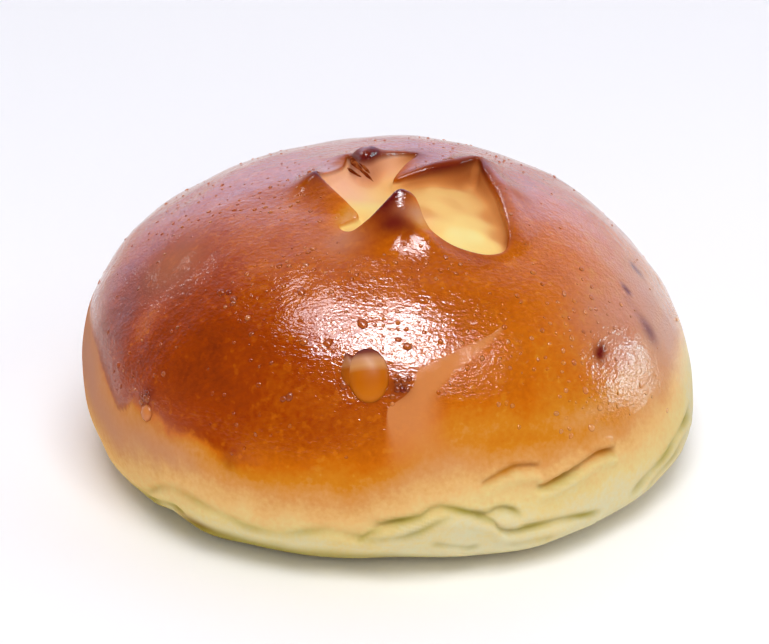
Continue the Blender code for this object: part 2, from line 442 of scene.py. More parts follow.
    def read(self, x: np.ndarray, y: np.ndarray) -> EdgeReading:
        """Measure places in the plan against the cut's edge.

        Args:
            x, y: places in the plan.

        Returns:
            The edge's reading at each place.
        """
        foot, away = self.nearest(x, y)
        sign = np.where(self.inside(x, y), 1.0, -1.0)
        way = np.stack([x, y], axis=1) - foot
        way *= (sign / np.maximum(away, TINY))[:, None]
        span = np.hypot(x[:, None] - self._outline[:, 0], y[:, None] - self._outline[:, 1])
        weight = 1 / (span**2 + self.blend**2) ** 2
        weight /= weight.sum(axis=1, keepdims=True)
        return EdgeReading(sign * away, way, *(weight @ self._outline[:, 2:]).T)

    def gather(self, x: np.ndarray, y: np.ndarray) -> tuple[np.ndarray, np.ndarray]:
        """Move places in the plan closer to the cut's edge, so that the edge is crisp."""
        reading = self.read(x, y)
        shift = draw_in(reading.inward, self.pull_reach, self.pull) - reading.inward
        return x + shift * reading.way[:, 0], y + shift * reading.way[:, 1]

    def shape(self, x: np.ndarray, y: np.ndarray, dome: np.ndarray) -> tuple[np.ndarray, EdgeReading]:
        """Open the cut in the dome.

        Args:
            x, y: places in the plan.
            dome: the uncut dome's height there.

        Returns:
            The shaped points, and the edge's reading there.
        """
        reading = self.read(x, y)
        inward = reading.inward
        short = 1 - np.abs(inward) / reading.reach
        crust = dome + reading.lift * self.flap_curve * np.log1p(np.exp(short / self.flap_curve))
        crust += sum(swell.spread(x, y) for swell in self.swells) * MM
        depth = np.full(x.shape, self.crumb_depth)
        for hollow in self.hollows:
            depth += hollow.spread(x, y) * MM
        crumb = dome - depth
        back = np.clip(1 + np.minimum(inward, 0) / reading.lip, 0, 1)
        rounding = reading.lip * (1 - np.sqrt(1 - back**2))
        share = np.clip(inward / reading.face, 0, 1)
        rise = (crust - rounding) + (crumb - (crust - rounding)) * (1 - (1 - share) ** self.face_curve)
        tuck = reading.under * np.sin(math.pi * share)
        points = np.stack([x - tuck * reading.way[:, 0], y - tuck * reading.way[:, 1], rise], axis=1)
        return points, reading

    def floor_tone(self, x: np.ndarray, y: np.ndarray) -> np.ndarray:
        """How dark the crumb is at each place, from 0 for pale lemon to 1 for brown."""
        total, weights = np.zeros(x.shape), np.full(x.shape, TINY)
        for tone in self.tones:
            weight = 1 / ((x - tone.x * MM) ** 2 + (y - tone.y * MM) ** 2 + (tone.reach * MM / 2) ** 2) ** 2
            total, weights = total + weight * tone.amount, weights + weight
        return total / weights

    def tone(self, x: np.ndarray, y: np.ndarray, reading: EdgeReading) -> np.ndarray:
        """How dark the crumb and the cut face are at each place; beneath the back-right lip and in its
        corner the darkness is partly painted shade.
        """
        near = np.exp(-np.clip(reading.inward - reading.face * 0.3, 0, None) / (reading.face * 0.7))
        floor = self.floor_tone(x, y)
        return floor + (reading.tone - floor) * near

    def blush(self, x: np.ndarray, y: np.ndarray) -> np.ndarray:
        """How pink the crumb is at each place, from 0 to 1."""
        return sum(spot.spread(x, y) for spot in self.blushes)

    def dulled(self, x: np.ndarray, y: np.ndarray, reading: EdgeReading) -> np.ndarray:
        """How much of the glaze is missing from the crust beside the cut, from 0 to 1."""
        beside = reading.dull * np.exp(-np.clip(-reading.inward, 0, None) / self.dull_reach)
        return np.clip(beside + sum(spot.spread(x, y) for spot in self.thin), 0, 1)

    def burn(self, reading: EdgeReading) -> np.ndarray:
        """How scorched the crust is beside the cut, from 0 to 1."""
        return reading.burn * np.exp(-np.clip(-reading.inward, 0, None) / self.burn_reach)


@dataclass(frozen=True)
class SideLine:
    """A line round the loaf's side, as azimuths in degrees and heights in millimetres."""

    knots: Pairs
    fade: float = 6.0

    def read(self, turn: np.ndarray, rise: np.ndarray) -> tuple[np.ndarray, np.ndarray]:
        """Height above the line, and how fully the line is there.

        Args:
            turn: azimuths within -pi to pi.
            rise: heights.

        Returns:
            Signed heights above the line, and strengths from 0 to 1.
        """
        turns, heights = np.radians([k[0] for k in self.knots]), np.array([k[1] for k in self.knots]) * MM
        ends = np.minimum(turn - turns[0], turns[-1] - turn)
        return rise - np.interp(turn, turns, heights), smooth_step(ends / math.radians(self.fade))


@dataclass(frozen=True)
class Fold:
    """A crease or a torn ledge along a line: a groove with a lip of dough below it."""

    line: SideLine
    depth: float
    width: float
    lip: float
    lip_width: float
    brow: float

    def relief(self, turn: np.ndarray, rise: np.ndarray) -> np.ndarray:
        """How far the side stands out because of this fold."""
        above, formed = self.line.read(turn, rise)
        groove = -self.depth * bell(above, self.width)
        lip = self.lip * bell(above + self.lip_width * 0.9, self.lip_width)
        brow = self.brow * bell(above - self.width * 2.2, self.width * 1.6)
        uneven = 1 + 0.45 * np.sin(turn * 23 + self.lip) * np.sin(turn * 11 + self.depth * 9)
        return formed * uneven * (groove + lip + brow) * MM

    def shade(self, turn: np.ndarray, rise: np.ndarray) -> np.ndarray:
        """How much painted shade each place gets in the fold's groove, from 0 to 1."""
        above, formed = self.line.read(turn, rise)
        uneven = 0.75 + 0.35 * np.sin(turn * 31 + self.depth * 7)
        deep = min(1.0, self.depth / 0.6)
        return formed * uneven * bell(above + self.width * 0.1, self.width * 1.15) * deep

    def bare_dough_and_highlight(self, turn: np.ndarray, rise: np.ndarray) -> np.ndarray:
        """How far each place is on the lip below the fold, from 0 to 1, where the crust is made paler:
        partly the bared dough, partly a painted highlight on the lip's lit top.
        """
        above, formed = self.line.read(turn, rise)
        return formed * self.lip * bell(above + self.lip_width * 1.1, self.lip_width)


def fold(
    knots: Pairs, depth: float, width: float, lip: float, lip_width: float, brow: float, fade: float
) -> Fold:
    """A fold from its line's knots, with its sizes in millimetres.

    Args:
        knots: azimuths in degrees and heights in millimetres.
        depth, width: the groove's.
        lip, lip_width: how far the dough below stands out, and over what height.
        brow: how far the dough above stands out.
        fade: degrees over which each end dies away.

    Returns:
        The fold.
    """
    return Fold(SideLine(knots, fade), depth, width * MM, lip, lip_width * MM, brow)


@dataclass(frozen=True)
class SideFolds:
    """The torn ledge, creases and seam round the lower side."""

    folds: tuple[Fold, ...] = (
        fold(((-73, 15.0), (-71.4, 15.7), (-68.4, 16.6), (-65.2, 17.2), (-63.6, 17.1), (-61.4, 16.8),
             (-59, 16.2)), 0.9, 0.48, 0.8, 1.3, 0.5, 2.0),
        fold(((-62, 13.2), (-60.8, 13.4), (-59.1, 13.3), (-57.0, 13.7), (-52.2, 14.6), (-47.0, 15.5),
             (-44.4, 15.3), (-41.0, 14.6)), 1.0, 0.48, 0.85, 1.2, 0.5, 2.0),
        fold(((-60.9, 17.6), (-60.3, 15.6), (-60.9, 14.4), (-60.2, 13.0)), 0.3, 0.9, 0.0, 1.0, 0.0, 0.3),
        fold(((-94, 9.8), (-89.9, 10.7), (-84.3, 11.6), (-82.4, 12.7), (-80.5, 13.0), (-78.2, 12.5),
             (-74.3, 11.3), (-71.9, 10.8), (-69.9, 11.2), (-67.9, 11.2), (-65.9, 10.5), (-64, 9.2)), 0.70,
             0.52, 0.66, 2.0, 0.15, 2.5),
        fold(((-76, 11.2), (-74.3, 11.1), (-71.9, 10.4), (-70.5, 9.6), (-69.5, 8.3), (-68.0, 7.5),
             (-65.0, 7.3), (-61.9, 7.4), (-58.1, 7.3), (-54.2, 7.0), (-50.7, 6.4), (-46.0, 5.7)), 0.60,
             0.48, 0.5, 1.6, 0.1, 3.0),
        fold(((-94, 8.1), (-87.2, 8.4), (-84.4, 9.3), (-81.5, 10.6), (-79.2, 11.2), (-77, 11.3)), 0.45, 0.5,
             0.42, 1.2, 0.0, 3.0),
        fold(((-83, 6.7), (-80.6, 6.4), (-78.2, 5.7), (-75.2, 5.0), (-72, 5.4)), 0.35, 0.5, 0.3, 1.2, 0.0,
             2.5),
        fold(((-69, 5.6), (-66, 5.0), (-62, 4.9), (-57, 4.4)), 0.22, 0.6, 0.2, 1.4, 0.0, 3.0),
        fold(((-40, 5.8), (-38.1, 6.2), (-35.0, 6.8), (-31.5, 7.6), (-27.7, 8.5), (-24.3, 9.3), (-20, 9.9),
             (-8, 10.4)), 0.5, 0.6, 0.4, 1.4, 0.0, 5.0),
        fold(((-36, 4.4), (-32, 5.4), (-28, 6.6), (-22, 7.6), (-14, 8.0)), 0.3, 0.6, 0.25, 1.2, 0.0, 5.0),
        fold(((-150, 3.6), (-143.0, 5.6), (-140.2, 7.4), (-137.3, 9.0), (-134.3, 10.1), (-130.1, 9.9),
             (-127.2, 9.5), (-120.7, 8.3), (-117.7, 7.5), (-110.7, 7.1), (-106.7, 8.0), (-102.0, 9.0),
             (-98.2, 8.4), (-94.6, 7.8), (-90, 8.2)), 0.28, 0.7, 0.42, 2.2, 0.15, 5.0),
        fold(((-146, 3.0), (-141, 4.6), (-137, 6.0), (-133.5, 6.4), (-131, 5.4)), 0.55, 0.5, 0.5, 1.0, 0.1,
             2.5),
        fold(((-97, 7.2), (-95.1, 7.8), (-93.6, 8.9), (-90.9, 10.2), (-87, 11.0)), 0.4, 0.5, 0.35, 1.1, 0.0,
             2.0),
        fold(((18, 8.6), (31, 11.2), (47, 12.4), (60, 10.9), (71, 12.1)), 0.5, 0.55, 0.5, 1.6, 0.2, 5.0),
        fold(((62, 8.6), (78, 9.4), (86, 11.8), (103, 12.3)), 0.42, 0.55, 0.4, 1.3, 0.1, 7.0),
        fold(((112, 9.3), (121, 12.6), (137, 14.2), (149, 12.9), (163, 13.6)), 0.45, 0.7, 0.45, 2.0, 0.2,
             6.0),
        fold(((140, 7.1), (149, 8.4), (158, 7.8)), 0.25, 0.6, 0.2, 1.2, 0.0, 5.0),
    )
    # The foot darkens near the floor: azimuth in degrees, height in millimetres and amount.
    dark_foot: Triples = (
        (-181, 3.0, 0.4), (-156, 4.0, 0.6), (-144, 6.0, 1.0), (-128, 6.2, 1.0), (-112, 6.4, 1.0),
        (-98, 6.0, 0.8), (-80, 4.5, 0.4), (-60, 3.5, 0.25), (181, 3.0, 0.3))
    pull: float = 0.55

    def gather(self, turn: np.ndarray, rise: np.ndarray) -> np.ndarray:
        """Move heights closer to each fold's line, so that the folds are crisp."""
        for item in self.folds:
            above, formed = item.line.read(turn, rise)
            reach = item.width * 3
            rise = rise + draw_in(above, reach, self.pull) * formed - above * formed
        return rise

    def relief(self, turn: np.ndarray, rise: np.ndarray) -> np.ndarray:
        """How far the side stands out because of all the folds."""
        return sum(item.relief(turn, rise) for item in self.folds)

    def shade(self, turn: np.ndarray, rise: np.ndarray) -> np.ndarray:
        """How much painted shade each place gets deep in a fold, and how much darker the foot is near the
        floor, from 0 to 1.
        """
        turns, tops, amounts = np.array(self.dark_foot).T
        height, amount = (np.interp(np.degrees(turn), turns, values) for values in (tops, amounts))
        foot = amount * (1 - smooth_step((rise / (height * MM) - 0.5) / 0.5))
        return np.max([foot, *[item.shade(turn, rise) for item in self.folds]], axis=0)

    def bare_dough_and_highlight(self, turn: np.ndarray, rise: np.ndarray) -> np.ndarray:
        """How far each place is on the paler dough that a fold lays bare, from 0 to 1; the paling also
        paints a highlight on the lips.
        """
        return np.max([item.bare_dough_and_highlight(turn, rise) for item in self.folds], axis=0)


@dataclass(frozen=True)
class BakeMap:
    """How brown the crust is: cream at the foot, peach below the egg wash and brown above it."""

    wash: SideLine = SideLine(
        ((-181, 23.7), (-170.5, 23.7), (-163.7, 22.7), (-158, 21.2), (-153.4, 19.4), (-150.2, 18.0),
        (-148.4, 18.4), (-146.5, 20.2), (-142.3, 19.8), (-137.8, 18.8), (-128, 18.2), (-122.2, 17.2),
        (-116.8, 16.6), (-107, 17.1), (-97.5, 16.8), (-92.8, 17.8), (-88, 19.2), (-83, 21.3), (-77.9, 22.2),
        (-72.8, 21.8), (-62.2, 20.7), (-50.7, 19.8), (-44.2, 19.3), (-38, 19.9), (-30, 21.5), (-12, 24.0),
        (0, 24.5), (60, 21.0), (110, 22.0), (150, 23.0), (181, 23.7)))
    cream: SideLine = SideLine(
        ((-181, 2.0), (-160, 3.0), (-150.6, 4.3), (-143, 6.5), (-137.7, 7.8), (-127.1, 9.9), (-116.4, 9.9),
        (-106.7, 10.0), (-97.3, 9.1), (-92.7, 10.5), (-88.1, 12.4), (-83.4, 13.8), (-78.6, 14.6),
        (-68.7, 14.2), (-58.4, 12.0), (-52.5, 13.0), (-46.2, 13.3), (-34.9, 12.5), (-25.7, 12.8),
        (-14, 16.0), (0, 18.0), (60, 13.0), (120, 11.0), (160, 5.0), (181, 2.0)))
    softness: Pairs = (
        (-181, 0.5), (-148, 0.6), (-140, 1.3), (-122, 1.7), (-112, 2.4), (-62, 2.6), (-45, 1.6), (-10, 3.0),
        (90, 2.5), (150, 1.2), (181, 0.5))
    brink: Pairs = (
        (-181, 0.68), (-125, 0.68), (-112, 0.58), (-90, 0.56), (-62, 0.53), (-45, 0.50), (0, 0.52),
        (90, 0.60), (181, 0.68))
    fade: Pairs = (
        (-1.2, 0.02), (-0.5, 0.08), (0.0, 0.19), (0.35, 0.30), (0.7, 0.41), (1.0, 0.47))
    patches: tuple[Spot, ...] = make_all(Spot, (
        (-38.0, -17.0, 13.0, 0.17), (-45.0, -10.0, 8.0, 0.08), (-28.0, -33.0, 10.0, 0.13),
        (-12.0, -37.0, 9.0, 0.07), (15.0, -44.0, 8.0, -0.10), (29.0, -32.0, 9.0, -0.12),
        (25.0, -20.0, 9.0, -0.02), (41.0, -6.0, 13.0, -0.17), (-6.2, -12.3, 3.0, -0.30),
        (-38.0, -19.0, 3.0, -0.14), (4.9, -15.5, 1.9, -0.32)))
    # Pink, dull crust; the marks at (-34, -11.5) and (-9, 3.2) are a painted lilac sheen where the glaze's
    # reflection is weak.
    blushes: tuple[Mark, ...] = make_all(Mark, (
        (-48.5, -12.0, 18.0, 8.0, 1.0), (-45.0, -22.0, 11.0, 8.0, 0.90), (-38.0, -32.0, 11.5, 7.0, 0.90),
        (-33.0, -37.0, 14.0, 4.0, 0.40), (-47.0, -4.0, 25.0, 6.0, 0.40), (-34.0, -11.5, 37.5, 6.5, 0.45),
        (1.5, -15.3, 48.4, 1.5, 0.50), (4.5, -15.4, 48.2, 1.8, 0.85), (-9.0, 3.2, 46.3, 2.6, 0.8),
        (-48.0, 4.0, 16.0, 10.0, 0.85), (44.0, -7.0, 26.0, 12.0, 0.90), (34.0, -20.0, 31.0, 7.0, 0.50),
        (8.0, -46.0, 15.0, 6.0, 0.30), (-7.0, -17.3, 44.3, 3.2, 0.55)))
    marks: tuple[Mark, ...] = make_all(Mark, (
        (1.6, -17.0, 47.2, 1.9, 0.60), (3.5, -17.9, 46.6, 1.4, 0.40), (-0.5, -17.1, 46.4, 1.7, 0.40),
        (-2.2, 5.0, 50.0, 1.3, 0.5), (33.0, -25.2, 28.3, 1.3, 1.1), (33.6, -24.0, 29.0, 1.0, 0.7),
        (41.8, -13.9, 25.5, 1.8, 0.52), (41.2, -13.6, 26.6, 1.6, 0.42), (40.4, -13.2, 27.8, 1.3, 0.42),
        (39.4, -12.6, 29.4, 1.1, 0.25), (38.2, -11.9, 31.0, 1.0, 0.25), (38.2, -10.0, 31.6, 0.7, 0.95),
        (37.6, -9.8, 32.4, 0.7, 0.95), (37.0, -9.4, 33.2, 0.5, 0.40), (39.6, -0.9, 32.2, 1.1, 0.65),
        (40.4, -0.9, 31.3, 1.2, 0.75), (41.0, -1.0, 30.5, 0.9, 0.40), (-37.8, -29.0, 23.2, 1.6, 0.6),
        (1.6, -39.4, 30.0, 1.7, 0.75), (-24.6, -40.8, 17.6, 1.4, 0.35), (-32.4, -34.9, 4.4, 1.5, 0.35),
        (-30.8, -36.0, 4.2, 1.6, 0.65), (-29.2, -37.1, 4.0, 1.6, 0.75), (-27.5, -38.2, 3.8, 1.6, 0.55),
        (-25.5, -39.4, 3.6, 1.4, 0.30)))
    thinning: Triples = (
        (-181, 2.0, 0.5), (-148, 2.5, 0.5), (-130, 9.0, 0.5), (-60, 10.0, 0.5), (-45, 9.0, 4.0),
        (-30, 11.0, 8.0), (-12, 13.0, 13.0), (20, 14.0, 14.0), (45, 13.0, 9.0), (70, 8.0, 4.0),
        (120, 4.0, 1.0), (181, 2.0, 0.5))
    crust: float = 0.70
    wander: float = 0.35
    mottle: float = 0.7
    mottle_turn: float = -134.0
    mottle_reach: float = 9.0
    thick_start: float = -176.0
    thick_end: float = -144.0
    thick_reach: float = 1.8
    thick_stain: float = 0.6

    def level(self, points: np.ndarray, turn: np.ndarray) -> np.ndarray:
        """How brown each point is, from 0 for cream to 1 for dark brown.

        Args:
            points: positions on the loaf.
            turn: their azimuths.

        Returns:
            The levels.
        """
        x, y, rise = points.T
        wander = Unevenness(7 * MM, 5).at(points) * self.wander * MM
        mottled = bell(turn - math.radians(self.mottle_turn), math.radians(self.mottle_reach))
        blots = Unevenness(5 * MM, 6).at(points) + Unevenness(2 * MM, 7).at(points) * 0.5
        wander += blots * self.mottle * MM * mottled
        cream, wash = (line.read(turn, rise)[0] + wander for line in (self.cream, self.wash))
        degrees = np.degrees(turn)
        tables = (self.softness, self.brink)
        soft, brink = (np.interp(degrees, *zip(*table, strict=True)) for table in tables)
        low = np.interp(cream / (cream - wash), *zip(*self.fade, strict=True))
        high = brink + (self.crust - brink) * rising(wash, 0, 7)
        brown = rising(wash, 0, 2)
        for patch in self.patches:
            high = high + patch.spread(x, y) * brown
        return low + (high - low) * smooth_step((wash / (soft * MM) + 1) / 2)

    def blush_and_painted_sheen(self, points: np.ndarray) -> np.ndarray:
        """How pink and dull the crust is at each point, from 0 to 1; at two marks this paints a lilac sheen
        instead.
        """
        return np.clip(sum(mark.spread(points) for mark in self.blushes), 0, 1)

    def washed(self, points: np.ndarray, turn: np.ndarray) -> np.ndarray:
        """Height above the edge of the egg wash at each point."""
        return self.wash.read(turn, points[:, 2])[0]

    def wetness(self, washed: np.ndarray, turn: np.ndarray) -> np.ndarray:
        """How thick the wash lies, from 0 to 1: it thins out slowly where its edge is soft.

        Args:
            washed: height above the wash's edge.
            turn: azimuth.

        Returns:
            The wetness.
        """
        turns, reaches, falls = np.array(self.thinning).T
        reach, fall = (np.interp(np.degrees(turn), turns, values) for values in (reaches, falls))
        return smooth_step((washed / MM + fall) / reach)

    def stained(self, points: np.ndarray, turn: np.ndarray) -> np.ndarray:
        """How scorched or stained each point is, from the marks and the wash's thick left edge."""
        total = sum(mark.spread(points) for mark in self.marks)
        over = self.washed(points, turn) / MM
        window = smooth_step((turn - math.radians(self.thick_start)) / math.radians(14))
        window = window * smooth_step((math.radians(self.thick_end) - turn) / math.radians(5))
        edge = smooth_step(over / 0.5) * np.exp(-np.clip(over, 0, None) / self.thick_reach)
        return total + self.thick_stain * window * edge


@dataclass(frozen=True)
class PaleBand:
    """The pale streak down the front right, where the wash lies thin: crisp on its left side.

    Each side is drawn as (height, place along X) pairs in millimetres.
    """

    left: Pairs = (
        (16.0, -2.0), (20.0, -1.5), (24.0, -1.0), (27.5, -0.4), (28.4, 1.3), (29.0, 2.4), (30.2, 3.6),
        (32.2, 4.1), (33.2, 7.8), (34.0, 10.9), (34.8, 15.5), (35.6, 17.6))
    right: Pairs = (
        (16.4, 13.9), (18.8, 12.7), (21.3, 9.3), (23.3, 7.1), (26.2, 6.8), (28.8, 7.0), (30.5, 8.8),
        (32.0, 11.5), (33.5, 15.0), (35.1, 17.5), (35.6, 17.7))
    foot: float = 17.0 * MM
    top: float = 35.6 * MM
    foot_softness: float = 11.0

    def inside_left(self, points: np.ndarray) -> np.ndarray:
        """Distance to the right of the band's left side, which is crisp above and soft below."""
        heights, places = np.array(self.left).T * MM
        soft = 1 + self.foot_softness * (1 - rising(points[:, 2], 21, 6))
        return (points[:, 0] - np.interp(points[:, 2], heights, places)) / soft

    def fullness(self, points: np.ndarray) -> np.ndarray:
        """How full the band is at each point, fading at its right side and its foot."""
        heights, places = np.array(self.right).T * MM
        short = np.interp(points[:, 2], heights, places) - points[:, 0]
        low = 1 - rising(points[:, 2], 26, 5)
        soft = (1.3 + 4.5 * low) * MM
        full = smooth_step((short + soft * 0.5) / soft) * smooth_step((points[:, 2] - self.foot) / (9 * MM))
        return full * (points[:, 2] < self.top) * (points[:, 1] < 0)


@dataclass(frozen=True)
class GridPlan:
    """How many columns the skin's grid has, and how many rings down each part."""

    columns: int = 448
    rings: tuple[int, int, int, int] = (80, 76, 48, 6)
    crown_radius: float = 26.0 * MM
    front_share: float = 0.3

    def stations(self) -> tuple[np.ndarray, np.ndarray]:
        """Each ring's part number, and its share of the way down that part."""
        parts = np.repeat(np.arange(4), self.rings)
        shares = np.concatenate([np.arange(count) / count for count in self.rings])
        return np.append(parts, Part.BASE.value), np.append(shares, 1.0)

    def crowd(self, turn: np.ndarray) -> np.ndarray:
        """Azimuths with more of them at the front, within -pi to pi."""
        crowded = turn - self.front_share * np.sin(turn - FRONT)
        return (crowded + math.pi) % ROUND - math.pi


def add_ball(name: str, columns: int, rings: int) -> bpy.types.Object:
    """Add a ball of radius 1 at the origin, to be shaped.

    Args:
        name: the piece's name.
        columns: how many faces go round it.
        rings: how many faces go from pole to pole.

    Returns:
        The ball, left as the active object.
    """
    bpy.ops.mesh.primitive_uv_sphere_add(segments=columns, ring_count=rings, radius=1.0, location=(0, 0, 0))
    ball = bpy.context.object
    ball.name = name
    return ball


def add_layers(obj: bpy.types.Object, layers: dict[Layer, np.ndarray]) -> None:
    """Store values at an object's vertices, for its finish to read.

    Args:
        obj: the mesh object.
        layers: one value for each vertex, by layer.
    """
    for layer, values in layers.items():
        held = obj.data.attributes.new(layer.value, "FLOAT", "POINT")
        held.data.foreach_set("value", np.ascontiguousarray(values, dtype=np.float32))


def get_points(mesh: bpy.types.Mesh) -> np.ndarray:
    """A mesh's vertex positions, one row each."""
    found = np.empty(len(mesh.vertices) * 3, dtype=np.float32)
    mesh.vertices.foreach_get("co", found)
    return found.reshape(-1, 3).astype(float)


def set_points(mesh: bpy.types.Mesh, points: np.ndarray) -> None:
    """Move a mesh's vertices to new positions, one row each."""
    mesh.vertices.foreach_set("co", np.ascontiguousarray(points, dtype=np.float32).ravel())
    mesh.update()


def fill_ramp(ramp: bpy.types.ColorRamp, stops: Stops) -> None:
    """Set a ramp's stops, in rising order."""
    marks = ramp.elements
    while len(marks) < len(stops):
        marks.new(0.5)
    for mark, (position, colour) in zip(marks, stops, strict=True):
        mark.position = position
        mark.color = colour


class Nodes:
    """Builds one material's node tree with short calls."""

    MIX_INPUTS = (0, 6, 7)
    MIX_OUTPUT = 2

    def __init__(self, name: str) -> None:
        """Start a node material with a Principled shader."""
        self.material = bpy.data.materials.new(name)
        self.material.use_nodes = True
        self.tree = self.material.node_tree
        self.shader = self.tree.nodes["Principled BSDF"]
        self.place = self.tree.nodes.new("ShaderNodeTexCoord").outputs["Object"]

    def join(self, value: object, socket: Socket) -> None:
        """Link a socket's value into another, or set a constant."""
        if isinstance(value, Socket):
            self.tree.links.new(value, socket)
        else:
            socket.default_value = value

    def feed(self, name: str, value: object) -> None:
        """Set one of the shader's inputs."""
        self.join(value, self.shader.inputs[name])

    def layer(self, layer: Layer) -> Socket:
        """The value that a mesh layer holds."""
        node = self.tree.nodes.new("ShaderNodeAttribute")
        node.attribute_name = layer.value
        return node.outputs["Fac"]

    def times(self, first: object, second: object) -> Socket:
        """The product of two values."""
        return self.math("MULTIPLY", first, second)

    def vary(self, noise: Socket, amount: float, base: object) -> Socket:
        """A value raised and lowered by noise about its middle."""
        return self.math("MULTIPLY_ADD", self.math("SUBTRACT", noise, 0.5), amount, base)

    def math(self, kind: str, first: object, second: object = 0.0, third: object = 0.0) -> Socket:
        """A Math node of the kind given."""
        node = self.tree.nodes.new("ShaderNodeMath")
        node.operation = kind
        for value, socket in zip((first, second, third), node.inputs, strict=True):
            self.join(value, socket)
        return node.outputs[0]

    def ease(
        self, value: object, low: float, high: float, start: float = 0.0, end: float = 1.0
    ) -> Socket:
        """A value eased from start to end as it goes from low to high."""
        node = self.tree.nodes.new("ShaderNodeMapRange")
        node.interpolation_type = "SMOOTHSTEP"
        for given, socket in zip((value, low, high, start, end), node.inputs[:5], strict=True):
            self.join(given, socket)
        return node.outputs[0]

    def noise(
        self, scale: float, detail: float = 2.0, stretch: tuple[float, float, float] = (1, 1, 1)
    ) -> Socket:
        """Noise of the scale given, stretched along the axes."""
        where = self.tree.nodes.new("ShaderNodeMapping")
        where.inputs["Scale"].default_value = stretch
        self.tree.links.new(self.place, where.inputs["Vector"])
        node = self.tree.nodes.new("ShaderNodeTexNoise")
        self.tree.links.new(where.outputs[0], node.inputs["Vector"])
        node.inputs["Scale"].default_value = scale
        node.inputs["Detail"].default_value = detail
        return node.outputs["Fac"]

    def ramp(self, value: object, stops: Stops) -> Socket:
        """Colours read off a ramp of stops."""
        node = self.tree.nodes.new("ShaderNodeValToRGB")
        self.join(value, node.inputs[0])
        fill_ramp(node.color_ramp, stops)
        return node.outputs["Color"]

    def mix(self, share: object, first: object, second: object, blend: str = "MIX") -> Socket:
        """Two colours mixed by a share."""
        node = self.tree.nodes.new("ShaderNodeMix")
        node.data_type = "RGBA"
        node.blend_type = blend
        for value, number in zip((share, first, second), self.MIX_INPUTS, strict=True):
            self.join(value, node.inputs[number])
        return node.outputs[self.MIX_OUTPUT]

    def bump(
        self, height: object, distance: float, strength: object = 1.0, after: object = None
    ) -> Socket:
        """A bump of the height given, over another."""
        node = self.tree.nodes.new("ShaderNodeBump")
        self.join(height, node.inputs["Height"])
        self.join(strength, node.inputs["Strength"])
        node.inputs["Distance"].default_value = distance
        if after is not None:
            self.join(after, node.inputs["Normal"])
        return node.outputs[0]

    def shine(
        self, roughness: object, specular: float, coat: object, coat_roughness: float, coat_ior: float
    ) -> None:
        """Set the shader's gloss.

        Args:
            roughness: of the crust below the glaze.
            specular: the crust's specular level.
            coat: the glaze's weight.
            coat_roughness: the glaze's roughness.
            coat_ior: the glaze's index.
        """
        self.feed("Roughness", roughness)
        self.feed("Specular IOR Level", specular)
        self.feed("Coat Weight", coat)
        self.feed("Coat Roughness", coat_roughness)
        self.feed("Coat IOR", coat_ior)


